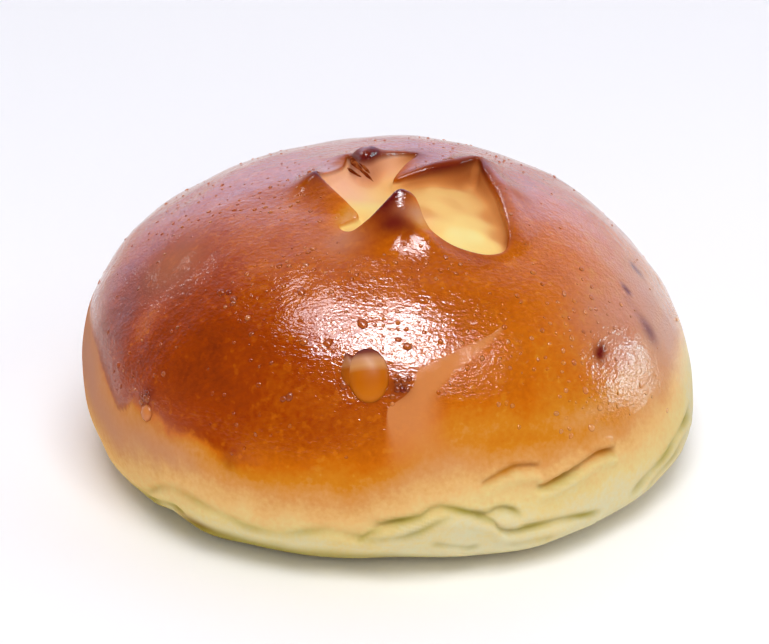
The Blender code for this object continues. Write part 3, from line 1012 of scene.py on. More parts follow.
@dataclass(frozen=True)
class CrustFinish:
    """Egg-washed crust, from cream at the foot to dark brown, with pale crumb in the cut."""

    crust: Stops = (
        (0.00, linear(221, 212, 172)),
        (0.12, linear(229, 204, 138)),
        (0.25, linear(230, 182, 116)),
        (0.38, linear(216, 150, 84)),
        (0.50, linear(208, 128, 36)),
        (0.62, linear(201, 105, 17)),
        (0.80, linear(158, 63, 8)),
        (1.00, linear(96, 34, 18)),
    )
    crumb: Stops = (
        (0.00, linear(240, 224, 148)),
        (0.15, linear(243, 206, 126)),
        (0.32, linear(236, 184, 112)),
        (0.50, linear(214, 144, 82)),
        (0.70, linear(172, 98, 50)),
        (1.00, linear(98, 38, 16)),
    )
    blush: Colour = linear(242, 184, 152)
    # the pink of the dull crust, which at two marks is a painted lilac sheen
    rose_and_painted_sheen: Colour = linear(190, 136, 112)
    band: Colour = linear(212, 136, 80)
    scorch: Colour = linear(100, 29, 26)
    # olive and amber: colours of the painted shade in the folds' grooves, olive low down and amber on the
    # ledge
    crease_shade_olive: Colour = linear(160, 144, 60)
    amber: Colour = linear(190, 118, 24)
    glaze_index: float = 1.55
    scatter: float = 0.12
    scatter_reach: float = 0.0012
    scatter_colour: tuple[float, float, float] = (1.0, 0.45, 0.2)

    def make(self) -> bpy.types.Material:
        """Build the material."""
        nodes = Nodes("glazed_crust")
        bake, cut, tone = (nodes.layer(name) for name in (Layer.BAKE, Layer.CUT, Layer.TONE))
        blotch = nodes.noise(160, 3)
        grain = nodes.noise(1200, 3)
        freckle = nodes.ease(nodes.noise(680, 2), 0.56, 0.70)
        freckle = nodes.times(freckle, nodes.ease(bake, 0.40, 0.60))
        varied = nodes.vary(blotch, 0.16, bake)
        varied = nodes.vary(grain, 0.15, varied)
        varied = nodes.math("MULTIPLY_ADD", freckle, -0.06, varied)
        crust = nodes.ramp(varied, self.crust)
        band_edge = nodes.ease(nodes.layer(Layer.BAND_EDGE), 0.0, 0.25)
        banded = nodes.times(nodes.layer(Layer.BAND), band_edge)
        crust = nodes.mix(nodes.times(banded, 0.78), crust, self.band)
        blush = nodes.layer(Layer.BLUSH)
        dull = nodes.times(blush, nodes.ease(bake, 0.25, 0.45))
        # Pink dull crust, and in two places a painted lilac sheen.
        crust = nodes.mix(nodes.times(dull, 0.9), crust, self.rose_and_painted_sheen)
        crust = nodes.mix(nodes.layer(Layer.BURN), crust, self.scorch)
        # Painted shade: the folds' grooves are mixed towards olive low down and amber on the ledge; the
        # same layer darkens the foot near the floor.
        shade = nodes.layer(Layer.SHADE)
        deep = nodes.mix(nodes.ease(bake, 0.14, 0.26), self.crease_shade_olive, self.amber)
        crust = nodes.mix(nodes.times(shade, 0.85), crust, deep)
        crumb = nodes.ramp(nodes.vary(blotch, 0.10, tone), self.crumb)
        crumb = nodes.mix(blush, crumb, self.blush)
        inside = nodes.ease(cut, -0.08, 0.25)
        nodes.feed("Base Color", nodes.mix(inside, crust, crumb))
        glaze = nodes.times(nodes.layer(Layer.GLAZE), nodes.math("SUBTRACT", 1.0, inside))
        rough = nodes.ease(glaze, 0.0, 1.0, 0.62, 0.42)
        nodes.shine(rough, 0.0, glaze, GLAZE_ROUGHNESS, self.glaze_index)
        ripple = nodes.noise(1750, 2, (0.75, 1.0, 1.45))
        pores = nodes.noise(900, 4)
        swell = nodes.noise(330, 2, (0.7, 1.0, 1.5))
        wet = nodes.ease(glaze, 0.05, 0.75)
        swell_bump = nodes.bump(swell, 0.00045, nodes.times(wet, 0.4))
        gloss_bump = nodes.bump(ripple, 0.00014, nodes.times(wet, 0.75), swell_bump)
        full = nodes.bump(pores, 0.00010, 0.5, gloss_bump)
        nodes.feed("Normal", full)
        nodes.feed("Coat Normal", full)
        nodes.feed("Subsurface Weight", self.scatter)
        nodes.feed("Subsurface Scale", self.scatter_reach)
        nodes.feed("Subsurface Radius", self.scatter_colour)
        return nodes.material


@dataclass
class LoafSkin:
    """The whole bun's skin in one closed mesh, with the values that its finish reads."""

    form: LoafForm
    cut: StarCut
    folds: SideFolds
    bake: BakeMap
    band: PaleBand
    plan: GridPlan = GridPlan()
    lump: float = 0.28 * MM
    foot_wrinkle: float = 0.35 * MM
    # how much paler the fold lips are: partly bared dough, partly a painted highlight
    paling: float = 0.45
    band_thinning: float = 0.85
    swells: tuple[Mark, ...] = make_all(Mark, (
        (40.0, 10.0, 32.0, 13.0, -0.9), (-22.0, 22.0, 40.0, 13.0, -0.9)))
    thin: tuple[Mark, ...] = make_all(Mark, (
        (-36.8, -12.0, 35.8, 8.0, 0.62), (-32.0, -11.8, 39.0, 8.0, 0.55), (33.0, -25.0, 28.4, 1.7, 0.85)))
    foot_swells: Triples = ((-88, 9, -1.3), (-62, 10, 1.2), (-141, 7, -0.9), (-128, 6, 1.1))

    def build(self, finish: CrustFinish) -> bpy.types.Object:
        """Model the skin and dress it.

        Args:
            finish: the crust's finish.

        Returns:
            The finished piece.
        """
        skin = add_ball("loaf_skin", self.plan.columns, sum(self.plan.rings))
        points, layers = self.shape(get_points(skin.data))
        set_points(skin.data, points)
        add_layers(skin, layers)
        bpy.ops.object.shade_smooth()
        skin.data.materials.append(finish.make())
        return skin

    def shape(self, sphere: np.ndarray) -> tuple[np.ndarray, dict[Layer, np.ndarray]]:
        """Place every vertex of the sphere on the loaf.

        Args:
            sphere: the unit sphere's vertex positions.

        Returns:
            The loaf's positions, and the values for each layer.
        """
        parts, shares = self.plan.stations()
        down = np.arccos(np.clip(sphere[:, 2], -1, 1)) / math.pi
        ring = np.rint(down * (len(parts) - 1)).astype(int)
        part, share = parts[ring], shares[ring]
        turn = self.plan.crowd(np.arctan2(sphere[:, 1], sphere[:, 0]))
        points = np.zeros(sphere.shape)
        top = part == Part.CROWN.value
        inward = np.full(len(points), -np.inf)
        tone, blush, burn, dull = np.zeros((4, len(points)))
        radius = self.plan.crown_radius * share[top]
        x, y = self.cut.gather(radius * np.cos(turn[top]), radius * np.sin(turn[top]))
        points[top], reading = self.cut.shape(x, y, self.form.dome(x, y))
        inward[top], burn[top] = reading.inward, self.cut.burn(reading)
        dull[top] = self.cut.dulled(x, y, reading)
        tone[top], blush[top] = self.cut.tone(x, y, reading), self.cut.blush(x, y)
        side = ~top
        points[side] = self.place_side(part[side], share[side], turn[side])
        turn = np.arctan2(points[:, 1], points[:, 0])
        grip = rising(points[:, 2], 0, 6) * rising(-inward, 0, 3)
        lumps = Unevenness(20 * MM, 3).at(points) * 0.7 + Unevenness(9 * MM, 4).at(points) * 0.3
        swell = sum(mark.spread(points) for mark in self.swells) * MM
        points += self.form.outward(points) * ((lumps * self.lump + swell) * grip)[:, None]
        washed = self.bake.washed(points, turn)
        shade, bare_dough_and_highlight = (read(turn, points[:, 2]) * side for read in (self.folds.shade, self.folds.bare_dough_and_highlight))
        layers = {
            Layer.BAKE: self.bake.level(points, turn) * (1 - self.paling * bare_dough_and_highlight),
            Layer.CUT: np.clip(inward / MM, -50, 50),
            Layer.TONE: tone,
            Layer.BLUSH: np.where(inward > 0, np.clip(blush, 0, 1), self.bake.blush_and_painted_sheen(points)),
            Layer.BAND: self.band.fullness(points),
            Layer.BAND_EDGE: np.clip(self.band.inside_left(points) / MM, -20, 20),
            Layer.SHADE: shade,
            Layer.BURN: np.clip(burn + self.bake.stained(points, turn), 0, 1),
            Layer.GLAZE: self.bake.wetness(washed, turn) * (1 - dull) * self.glazed(points),
        }
        return points, layers

    def glazed(self, points: np.ndarray) -> np.ndarray:
        """How much of the glaze stays, from 0 to 1: less on the band and at the thin places."""
        edge = rising(self.band.inside_left(points), 0, 0.25)
        thin = sum(mark.spread(points) for mark in self.thin)
        return (1 - self.band_thinning * self.band.fullness(points) * edge) * (1 - np.clip(thin, 0, 1))

    def place_side(self, part: np.ndarray, share: np.ndarray, turn: np.ndarray) -> np.ndarray:
        """Place the vertices below the crown.

        Args:
            part: each vertex's part number.
            share: its share of the way down the part.
            turn: its azimuth.

        Returns:
            Positions, one row each.
        """
        shoulder, underside = part == Part.SHOULDER.value, part == Part.UNDERSIDE.value
        rise = np.zeros(len(part))
        rise[shoulder] = self.form.shoulder_rise(share[shoulder], turn[shoulder], self.plan.crown_radius)
        rise[underside] = self.form.underside_rise(share[underside], turn[underside])
        rise = np.maximum(self.folds.gather(turn, rise), 0) * (part != Part.BASE.value)
        radius = self.form.side_radius(rise, turn) + self.folds.relief(turn, rise)
        around = np.stack([np.cos(turn), np.sin(turn), np.zeros(len(turn))], axis=1)
        radius += Unevenness(0.35, 8).at(around) * self.foot_wrinkle * bell(rise, 3 * MM)
        for middle, reach, out in self.foot_swells:
            radius += out * MM * bell(np.degrees(turn) - middle, reach) * bell(rise, 6 * MM)
        base = part == Part.BASE.value
        radius[base] *= 1 - share[base]
        edge = shoulder & (share == 0)
        rise[edge] = self.form.dome(radius[edge] * around[edge, 0], radius[edge] * around[edge, 1])
        return np.stack([radius * around[:, 0], radius * around[:, 1], rise], axis=1)


@dataclass(frozen=True)
class BlisterFinish:
    """Small blisters of glazed crust: the crust's brown with a ring of painted shade round the foot, and a
    bright glint.
    """

    # the colour of the painted shade round each blister's foot
    dark: Colour = linear(134, 58, 22)
    pale: Colour = linear(220, 150, 92)
    roughness: float = 0.5
    gloss: float = 0.8

    def make(self, crust: CrustFinish) -> bpy.types.Material:
        """Build the material.

        Args:
            crust: the crust that the blisters stand on.

        Returns:
            The material.
        """
        nodes = Nodes("blister_glaze")
        colour = nodes.ramp(nodes.layer(Layer.BAKE), crust.crust)
        colour = nodes.mix(nodes.times(nodes.layer(Layer.BLUSH), 0.8), colour, crust.rose_and_painted_sheen)
        colour = nodes.mix(nodes.layer(Layer.TONE), colour, self.pale)
        colour = nodes.mix(nodes.layer(Layer.BURN), colour, crust.scorch)
        colour = nodes.mix(nodes.layer(Layer.RIM_SHADE), colour, self.dark)
        nodes.feed("Base Color", colour)
        nodes.shine(self.roughness, 0.0, self.gloss, GLAZE_ROUGHNESS, GLASSY_INDEX)
        return nodes.material


@dataclass(frozen=True)
class Blister:
    """One blister: its place in millimetres, its radius, and how pale and how scorched it is."""

    x: float
    y: float
    z: float
    radius: float
    pale: float
    scorch: float


@dataclass
class GlazeBlisters:
    """Fine blisters all over the glazed crust, and the larger ones at their own places."""

    count: int = 600
    spacing: float = 1.05 * MM
    least: float = 0.16 * MM
    most: float = 0.60 * MM
    seed: int = 11
    columns: int = 8
    rings: int = 6
    flare: float = 1.12
    crown: float = 0.62
    sunk: float = 0.5
    # strength of the painted shade ring at each blister's foot
    ring_shade: float = 0.6
    heights: tuple[float, float] = (0.55, 0.95)
    ovals: tuple[float, float] = (0.8, 1.2)
    skew: tuple[float, float] = (1.4, 3.2)
    draws: int = 4
    clear_of_cut: float = 0.8
    placed: tuple[Blister, ...] = make_all(Blister, (
        (-13.5, -26.5, 39.8, 0.72, 0.1, 0.1), (-9.4, -34.3, 35.0, 0.66, 0.1, 0.1),
        (-13.1, -33.8, 34.7, 0.66, 0.1, 0.15), (-4.0, -32.2, 37.3, 0.80, 0.1, 0.1),
        (2.7, -35.1, 34.7, 0.66, 0.1, 0.3), (-15.3, -39.1, 28.1, 0.62, 0.1, 0.5),
        (-16.3, -39.0, 27.8, 0.50, 0.0, 0.6), (-26.1, -22.4, 37.9, 0.66, 0.0, 0.5),
        (-25.0, -23.0, 38.0, 0.50, 0.0, 0.5), (-24.3, -24.6, 37.5, 0.55, 0.1, 0.3),
        (-37.9, -30.0, 20.3, 1.25, 0.30, 0.0), (-38.6, -28.2, 21.6, 0.50, 0.3, 0.3),
        (-38.2, -28.4, 22.3, 0.55, 0.2, 0.4), (-37.6, -29.3, 22.2, 0.50, 0.3, 0.3),
        (-38.9, -27.5, 22.4, 0.40, 0.1, 0.6), (-37.9, -28.4, 23.1, 0.45, 0.1, 0.6),
        (1.0, -39.9, 29.5, 0.50, 0.1, 0.5), (1.9, -39.8, 29.4, 0.45, 0.0, 0.7),
        (1.2, -39.1, 30.4, 0.50, 0.1, 0.5), (2.2, -39.0, 30.3, 0.52, 0.1, 0.5),
        (2.9, -38.6, 30.7, 0.42, 0.0, 0.6), (2.6, -39.4, 29.7, 0.38, 0.1, 0.7),
        (0.3, -40.6, 28.6, 0.40, 0.1, 0.4), (-6.9, -39.4, 30.0, 0.60, 0.1, 0.5),
        (31.5, -33.2, 19.7, 0.60, 0.5, 0.0), (30.4, -31.0, 24.7, 0.55, 0.3, 0.0)))
    bare: tuple[Spot, ...] = (Spot(2.0, -15.0, 4.5, 1.5), Spot(-3.5, 6.5, 4.0, 1.5))

    def build(self, skin: bpy.types.Object, crust: CrustFinish) -> bpy.types.Object:
        """Model one blister, then set its copies on the skin.

        Args:
            skin: the loaf's finished skin.
            crust: its finish.

        Returns:
            The finished piece.
        """
        one, ring = self.model()
        points, normals = get_points(skin.data), self.normals(skin.data)
        at, radii, pale, scorch = self.choose(skin, points)
        rng = np.random.default_rng(self.seed + 1)
        across, along = self.frames(normals[at], rng.uniform(0, ROUND, len(at)))
        high = radii * rng.uniform(*self.heights, len(at))
        oval = rng.uniform(*self.ovals, len(at))
        places = points[at][:, None, :] + (
            one[None, :, :1] * (across * (radii * oval)[:, None])[:, None, :]
            + one[None, :, 1:2] * (along * (radii / oval)[:, None])[:, None, :]
            + one[None, :, 2:3] * (normals[at] * high[:, None])[:, None, :]
        )
        blisters = self.merge(bpy.context.object, places)
        count = len(one)
        wanted = (Layer.BAKE, Layer.BURN, Layer.BLUSH)
        bake, burn, blush = (self.values(skin, layer)[at] for layer in wanted)
        add_layers(
            blisters,
            {
                Layer.BAKE: np.repeat(np.clip(bake + rng.uniform(-0.06, 0.06, len(at)), 0, 1), count),
                Layer.BLUSH: np.repeat(blush, count),
                Layer.TONE: np.repeat(pale, count),
                Layer.BURN: np.repeat(np.clip(burn * 0.5 + scorch, 0, 1), count),
                Layer.RIM_SHADE: np.tile(ring, len(at)) * np.repeat(np.where(radii > self.most, 1.2, 0.8), count),
            },
        )
        blisters.data.materials.append(BlisterFinish().make(crust))
        return blisters

    def model(self) -> tuple[np.ndarray, np.ndarray]:
        """One blister as a small dome with a sunk foot, left as the active object.

        Returns:
            Its vertex positions at a radius of 1, and how much painted shade each vertex gets near the
            dome's foot.
        """
        ball = add_ball("glaze_blisters", self.columns, self.rings)
        bpy.ops.object.shade_smooth()
        one = get_points(ball.data)
        flare = np.where(one[:, 2] < 0.1, self.flare, 1.0)
        one[:, :2] *= flare[:, None]
        one[:, 2] = np.where(one[:, 2] > 0, one[:, 2] * self.crown, one[:, 2] * self.sunk)
        ring = smooth_step((0.34 - one[:, 2]) / 0.5) * self.ring_shade
        return one, ring

    @staticmethod
    def values(skin: bpy.types.Object, layer: Layer) -> np.ndarray:
        """The values that one of the skin's layers holds, one for each vertex."""
        found = np.empty(len(skin.data.vertices), dtype=np.float32)
        skin.data.attributes[layer.value].data.foreach_get("value", found)
        return found

    @staticmethod
    def normals(mesh: bpy.types.Mesh) -> np.ndarray:
        """A mesh's vertex normals, one row each."""
        found = np.empty(len(mesh.vertices) * 3, dtype=np.float32)
        mesh.vertex_normals.foreach_get("vector", found)
        return found.reshape(-1, 3).astype(float)

    @staticmethod
    def frames(normals: np.ndarray, spin: np.ndarray) -> tuple[np.ndarray, np.ndarray]:
        """Two directions across each normal, turned by a spin.

        Args:
            normals: unit directions.
            spin: turns about them.

        Returns:
            The directions across and along.
        """
        side = np.cross(normals, [0.31, 0.17, 0.93])
        side /= np.maximum(np.linalg.norm(side, axis=1, keepdims=True), TINY)
        other = np.cross(normals, side)
        turn, across = np.cos(spin)[:, None], np.sin(spin)[:, None]
        return side * turn + other * across, other * turn - side * across

    def choose(self, skin: bpy.types.Object, points: np.ndarray) -> tuple[np.ndarray, ...]:
        """Pick the vertices that blisters stand on.

        Args:
            skin: the loaf's skin.
            points: its vertex positions.

        Returns:
            Vertex numbers, radii, paleness and scorching.
        """
        rng = np.random.default_rng(self.seed)
        glaze, cut, band = (self.values(skin, layer) for layer in (Layer.GLAZE, Layer.CUT, Layer.BAND))
        radius, turn = np.hypot(points[:, 0], points[:, 1]), np.arctan2(points[:, 1], points[:, 0])
        area = np.maximum(radius, 0.4 * MM) * (1 - 0.3 * np.cos(turn - FRONT))
        area *= 0.25 + 0.75 * smooth_step((24 * MM - points[:, 1] - radius * 0.2) / (30 * MM))
        area *= 1 + 0.5 * rising(points[:, 1], 24, 12)
        right = rising(points[:, 0], 8, 18) * rising(points[:, 1], -26, 16)
        area *= 1 - 0.88 * right * smooth_step((18 * MM - points[:, 1]) / (12 * MM))
        area *= 1 - np.clip(sum(spot.spread(points[:, 0], points[:, 1]) for spot in self.bare), 0, 1)
        cluster = smooth_step(0.5 + 0.6 * Unevenness(14 * MM, 21).at(points)) ** 1.5
        wish = area * glaze * (cut < -self.clear_of_cut) * (0.18 + cluster) * (1 - 0.8 * band)
        picked = rng.choice(len(points), size=self.count * self.draws, replace=False, p=wish / wish.sum())
        kept: list[int] = []
        for number in picked:
            away = np.linalg.norm(points[kept] - points[number], axis=1) if kept else np.array([1.0])
            if away.min() > self.spacing:
                kept.append(int(number))
            if len(kept) == self.count:
                break
        radii = self.least + (self.most - self.least) * rng.beta(*self.skew, len(kept))
        radii *= 1 - 0.40 * rising(points[kept, 1], -15, 30)
        own = np.array([[b.x, b.y, b.z, b.radius, b.pale, b.scorch] for b in self.placed])
        at = [int(np.argmin(np.linalg.norm(points - place * MM, axis=1))) for place in own[:, :3]]
        pale = np.concatenate([rng.uniform(0, 0.65, len(kept)) ** 2, own[:, 4]])
        scorch = np.concatenate([rng.uniform(0, 0.5, len(kept)) ** 2, own[:, 5] * 0.7])
        return np.array(kept + at), np.concatenate([radii, own[:, 3] * MM]), pale, scorch

    @staticmethod
    def merge(one: bpy.types.Object, places: np.ndarray) -> bpy.types.Object:
        """Repeat one mesh at new places, as one mesh in the same object.

        Args:
            one: the object to copy.
            places: for each copy, the positions of its vertices.

        Returns:
            The same object, now holding every copy.
        """
        mesh, count = one.data, places.shape[1]
        faces = [tuple(face.vertices) for face in mesh.polygons]
        starts = range(0, len(places) * count, count)
        many = [tuple(vertex + start for vertex in face) for start in starts for face in faces]
        mesh.clear_geometry()
        mesh.from_pydata(places.reshape(-1, 3).tolist(), [], many)
        mesh.update()
        mesh.shade_smooth()
        return one


@dataclass(frozen=True)
class BubbleFinish:
    """A swollen bubble of glaze: amber below, with a painted highlight as a paler, duller patch above,
    painted shade along its top edge, and painted shade round its rim.
    """

    # Amber below; the paler, duller stops above are a painted highlight, and the dark top stops are painted
    # shade.
    amber_and_painted_light: Stops = (
        (0.0, linear(200, 112, 26)),
        (0.35, linear(186, 96, 12)),
        (0.54, linear(184, 98, 20)),
        (0.66, linear(200, 138, 84)),
        (0.78, linear(196, 136, 96)),
        (0.90, linear(124, 62, 46)),
        (1.0, linear(84, 34, 38)),
    )
    # the colour of the painted shade round the bubble's foot
    rim: Colour = linear(120, 50, 10)
    gloss: float = 0.18
    roughness: float = 0.32
    under_roughness: float = 0.55

    def make(self) -> bpy.types.Material:
        """Build the material."""
        nodes = Nodes("bubble_glaze")
        colour = nodes.ramp(nodes.layer(Layer.TONE), self.amber_and_painted_light)
        colour = nodes.mix(nodes.layer(Layer.RIM_SHADE), colour, self.rim)
        nodes.feed("Base Color", colour)
        nodes.shine(self.under_roughness, 0.0, self.gloss, self.roughness, GLASSY_INDEX)
        return nodes.material


@dataclass(frozen=True)
class GlazeBubble:
    """One large bubble of glaze: an oval dome set into the crust.

    Its middle and outward direction say where it sits, and its sizes are in millimetres.
    """

    name: str
    middle: tuple[float, float, float]
    outward: tuple[float, float, float]
    half_width: float
    half_height: float
    rise: float
    lean: float
    horn: float = 0.0
    horn_turn: float = 100.0
    sunk: float = 0.35
    darker: float = 0.0
    horn_reach: float = 0.32
    rim_height: float = 0.42
    columns: int = 64
    rings: int = 32

    def build(self, finish: bpy.types.Material) -> bpy.types.Object:
        """Model the bubble and dress it.

        Args:
            finish: the bubble's material.

        Returns:
            The finished piece.
        """
        bubble = add_ball(self.name, self.columns, self.rings)
        one = get_points(bubble.data)
        turn = np.arctan2(one[:, 1], one[:, 0])
        reach = np.hypot(one[:, 0], one[:, 1])
        away = (turn - math.radians(self.horn_turn) + math.pi) % ROUND - math.pi
        swell = 1 + self.horn * bell(away, self.horn_reach) * reach**2
        level = np.where(one[:, 2] > 0, np.abs(one[:, 2]) ** 0.8, -0.6 * np.abs(one[:, 2]))
        flat = np.stack([one[:, 0] * self.half_width * swell, one[:, 1] * self.half_height * swell], axis=1)
        upward = level * self.rise - self.sunk
        out = np.array(self.outward) / np.linalg.norm(self.outward)
        across = np.cross([0.0, 0.0, 1.0], out)
        across /= np.linalg.norm(across)
        up = np.cross(out, across)
        lean = math.radians(self.lean)
        side = across * math.cos(lean) + up * math.sin(lean)
        top = up * math.cos(lean) - across * math.sin(lean)
        middle = np.array(self.middle)
        places = middle + flat[:, :1] * side + flat[:, 1:] * top + upward[:, None] * out
        set_points(bubble.data, places * MM)
        shown = one[:, 2] > 0
        # Painted shade round the foot, weaker on the lower side, where a painted rim light falls.
        rim = smooth_step((self.rim_height - one[:, 2]) / self.rim_height) * np.where(shown, 0.9, 1.0)
        rim *= 0.5 + 0.5 * smooth_step(one[:, 1] + 0.7)
        rim = np.maximum(rim, self.darker)
        # the tone runs from the bubble's lower side to its upper side, where the painted highlight and
        # painted shade lie
        add_layers(bubble, {Layer.TONE: one[:, 1] * 0.5 + 0.5, Layer.RIM_SHADE: rim})
        bpy.ops.object.shade_smooth()
        bubble.data.materials.append(finish)
        return bubble


@dataclass(frozen=True)
class ThreadFinish:
    """Torn dough, baked dark and dry."""

    dark: Colour = linear(112, 46, 20)
    light: Colour = linear(168, 92, 50)
    roughness: float = 0.6

    def make(self) -> bpy.types.Material:
        """Build the material."""
        nodes = Nodes("torn_dough")
        grain = nodes.ease(nodes.noise(900, 3), 0.42, 0.62)
        nodes.feed("Base Color", nodes.mix(grain, self.dark, self.light))
        nodes.feed("Normal", nodes.bump(nodes.noise(1600, 3), 0.00012, 0.7))
        nodes.shine(self.roughness, 0.0, 0.0, 0.3, GLASSY_INDEX)
        return nodes.material


@dataclass(frozen=True)
class TornThread:
    """A thread of dough torn across the cut's back wall: its places and radii, in millimetres."""

    name: str
    path: tuple[tuple[float, float, float, float], ...]
    columns: int = 10
    rings: int = 28

    def build(self, finish: bpy.types.Material) -> bpy.types.Object:
        """Model the thread and dress it.

        Args:
            finish: its material.

        Returns:
            The finished piece.
        """
        thread = add_ball(self.name, self.columns, self.rings)
        one, path = get_points(thread.data), np.array(self.path)
        share = 1 - np.arccos(np.clip(one[:, 2], -1, 1)) / math.pi
        around = np.hypot(one[:, 0], one[:, 1])
        run = np.linspace(0, 1, len(path))
        middle = np.stack([np.interp(share, run, path[:, axis]) for axis in range(3)], axis=1)
        radius = np.interp(share, run, path[:, 3]) * np.clip(around * 3, 0, 1)
        along = (path[-1] - path[0])[:3]
        across = np.cross(along, [0.0, 0.0, 1.0])
        across /= np.linalg.norm(across)
        up = np.cross(across, along / np.linalg.norm(along))
        turn = np.arctan2(one[:, 1], one[:, 0])[:, None]
        ring = np.cos(turn) * across - np.sin(turn) * up
        set_points(thread.data, (middle + ring * radius[:, None]) * MM)
        bpy.ops.object.shade_smooth()
        thread.data.materials.append(finish)
        return thread


THREADS = (
    TornThread("torn_thread_long", (
        (-6.2, 7.2, 47.4, 0.30), (-5.75, 5.2, 47.3, 0.60), (-5.2, 3.75, 47.4, 0.48),
        (-4.56, 2.8, 47.2, 0.34), (-3.6, 2.25, 46.3, 0.28), (-2.5, 2.3, 45.1, 0.12))),
    TornThread("torn_thread_side", (
        (-5.0, 3.6, 48.0, 0.12), (-4.1, 2.55, 47.7, 0.26), (-3.6, 2.45, 47.1, 0.24),
        (-3.1, 2.5, 46.5, 0.10))),
    TornThread("torn_thread_low", (
        (-6.85, 6.2, 45.8, 0.14), (-6.35, 5.4, 45.8, 0.28), (-5.85, 4.2, 46.0, 0.24),
        (-5.0, 2.75, 46.1, 0.18), (-4.1, 2.1, 45.9, 0.08))),
)


BUBBLES = (
    GlazeBubble(
        "bubble_lobe", (-5.8, -37.7, 31.8), (-0.09, -0.74, 0.67), 1.9, 2.6, 1.2, 8, 0.45, 112.0,
        darker=0.45),
    GlazeBubble("bubble_main", (-3.25, -38.35, 31.4), (-0.03, -0.76, 0.65), 3.2, 4.3, 2.0, 6),
)


@dataclass(frozen=True)
class Lamp:
    """One soft lamp of the studio."""

    name: str
    azimuth: float
    elevation: float
    distance: float
    width: float
    height: float
    strength: float
    colour: tuple[float, float, float] = (1.0, 1.0, 1.0)
    spin: float = 0.0
    glossy: bool = True
    diffuse: bool = True

    def hang(self, aim: Vector) -> bpy.types.Object:
        """Place the lamp facing its aim.

        Args:
            aim: the point that it faces.

        Returns:
            The lamp.
        """
        turn, rise = math.radians(self.azimuth), math.radians(self.elevation)
        way = Vector((math.sin(turn) * math.cos(rise), -math.cos(turn) * math.cos(rise), math.sin(rise)))
        bpy.ops.object.light_add(type="AREA", location=aim + way * self.distance)
        lamp = bpy.context.object
        lamp.name = self.name
        facing = way.to_track_quat("Z", "Y") @ Quaternion((0, 0, 1), math.radians(self.spin))
        lamp.rotation_euler = facing.to_euler()
        lamp.data.shape = "RECTANGLE"
        lamp.data.size, lamp.data.size_y = self.width, self.height
        lamp.data.energy = self.strength * self.width * self.height * math.pi
        lamp.data.color = self.colour
        lamp.visible_glossy, lamp.visible_diffuse = self.glossy, self.diffuse
        lamp.visible_camera = False
        return lamp


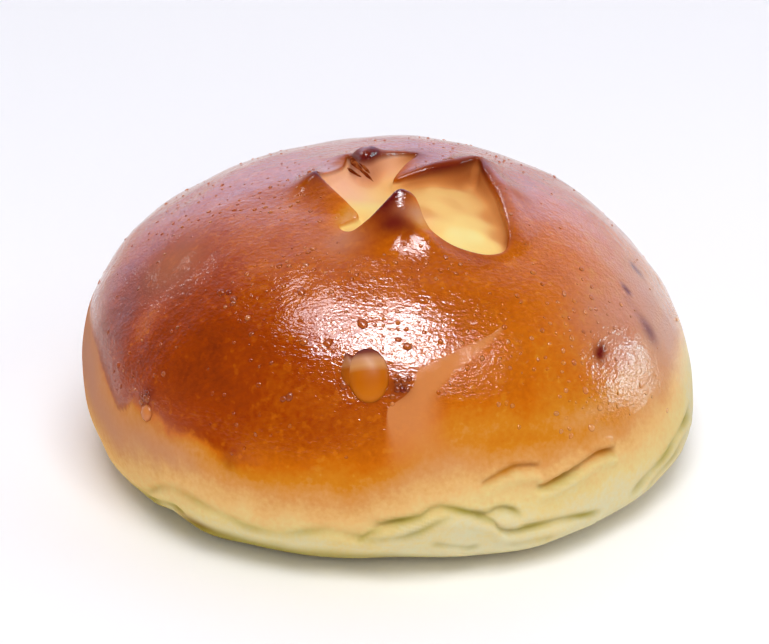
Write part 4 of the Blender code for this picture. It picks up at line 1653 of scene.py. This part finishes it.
@dataclass(frozen=True)
class Studio:
    """A pale floor under soft lamps, a bright backdrop behind, and the camera."""

    aim: Vector = Vector((-0.79 * MM, 0, 21.96 * MM))
    drop: float = 0.80 * MM
    elevation: float = 27.0
    distance: float = 683.0 * MM
    lens: float = 196.85
    floor_radius: float = 30.0
    floor_colour: Colour = (1.0, 0.99, 0.965, 1.0)
    floor_roughness: float = 0.9
    floor_sides: int = 96
    clip: tuple[float, float] = (0.01, 100.0)
    sky: Stops = (
        (0.58, (0.03, 0.03, 0.035, 1)), (0.72, (0.52, 0.50, 0.65, 1)), (0.86, (0.95, 0.92, 1.25, 1)),
        (1.0, (1.15, 1.45, 2.2, 1)))
    lamps: tuple[Lamp, ...] = (
        Lamp("overhead_haze", -10, 75, 1.0, 0.90, 0.26, 10.5, (0.97, 0.93, 1.0), -34, diffuse=False),
        Lamp("overhead_strip", 15, 68.5, 1.0, 0.40, 0.15, 36.0, (0.97, 0.97, 1.0), -32, diffuse=False),
        Lamp("right_softbox", 103, 6.5, 1.0, 0.21, 0.14, 18.5, (0.58, 0.92, 1.0), diffuse=False),
        Lamp("right_patch", 52, 52, 1.0, 0.10, 0.065, 38.0, (0.95, 0.97, 1.0), -20, diffuse=False),
        Lamp("rim_glint", -134, 27, 1.2, 0.08, 0.28, 17.0, diffuse=False),
        Lamp("overhead_soft", 10, 72, 1.2, 0.8, 0.8, 4.8, glossy=False),
        Lamp("front_fill", 10, 30, 1.4, 1.4, 1.0, 1.45, glossy=False),
        Lamp("right_fill", 90, 25, 1.4, 0.8, 0.8, 1.4, (0.98, 1.0, 1.06), glossy=False),
        Lamp("left_fill", -75, 15, 1.4, 1.0, 0.8, 1.3, glossy=False),
    )

    def build(self) -> None:
        """Lay the floor, hang the lamps and set the world and the camera."""
        bpy.ops.mesh.primitive_circle_add(
            vertices=self.floor_sides, radius=self.floor_radius, fill_type="NGON"
        )
        floor = bpy.context.object
        floor.name = "studio_floor"
        paint = Nodes("floor_paint")
        paint.feed("Base Color", self.floor_colour)
        paint.shine(self.floor_roughness, 0.0, 0.0, 0.1, GLASSY_INDEX)
        floor.data.materials.append(paint.material)
        for lamp in self.lamps:
            lamp.hang(self.aim)
        self.light_world()
        self.place_camera()

    def light_world(self) -> None:
        """Make the surroundings bright and faintly violet behind, and dark in front."""
        world = bpy.data.worlds.new("studio_world")
        bpy.context.scene.world = world
        world.use_nodes = True
        tree = world.node_tree
        background = tree.nodes["Background"]
        place = tree.nodes.new("ShaderNodeTexCoord")
        split = tree.nodes.new("ShaderNodeSeparateXYZ")
        tree.links.new(place.outputs["Generated"], split.inputs[0])
        ramp = tree.nodes.new("ShaderNodeValToRGB")
        share = tree.nodes.new("ShaderNodeMapRange")
        share.inputs["From Min"].default_value, share.inputs["From Max"].default_value = -1.0, 1.0
        tree.links.new(split.outputs["Y"], share.inputs["Value"])
        tree.links.new(share.outputs[0], ramp.inputs[0])
        fill_ramp(ramp.color_ramp, self.sky)
        tree.links.new(ramp.outputs["Color"], background.inputs["Color"])
        background.inputs["Strength"].default_value = 1.0

    def place_camera(self) -> None:
        """Set the camera at its fitted distance and height."""
        rise = math.radians(self.elevation)
        back = Vector((0, -math.cos(rise), math.sin(rise)))
        up = Vector((0, math.sin(rise), math.cos(rise)))
        bpy.ops.object.camera_add(location=self.aim - up * self.drop + back * self.distance)
        camera = bpy.context.object
        camera.rotation_euler = back.to_track_quat("Z", "Y").to_euler()
        camera.data.lens = self.lens
        camera.data.clip_start, camera.data.clip_end = self.clip
        scene = bpy.context.scene
        scene.camera = camera
        scene.view_settings.view_transform = "Standard"


def main() -> None:
    """Build the pieces in order, then report them."""
    logging.basicConfig(level=logging.INFO, format="%(name)s: %(message)s")
    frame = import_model()
    bpy.ops.object.select_all(action="DESELECT")
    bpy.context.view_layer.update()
    crust = CrustFinish()
    skin = LoafSkin(LoafForm(), StarCut(), SideFolds(), BakeMap(), PaleBand()).build(crust)
    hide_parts("brioche_bun")
    blisters = GlazeBlisters().build(skin, crust)
    amber = BubbleFinish().make()
    bubbles = [bubble.build(amber) for bubble in BUBBLES]
    torn = ThreadFinish().make()
    threads = [thread.build(torn) for thread in THREADS]
    pieces = (skin, blisters, *bubbles, *threads)
    for piece in pieces:
        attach(piece, "root")
    Studio().build()
    log.info("frame: %s", ", ".join(frame["nodes"]))
    for piece in pieces:
        log.info("%s: %d faces", piece.name, len(piece.data.polygons))


if __name__ == "__main__":
    main()
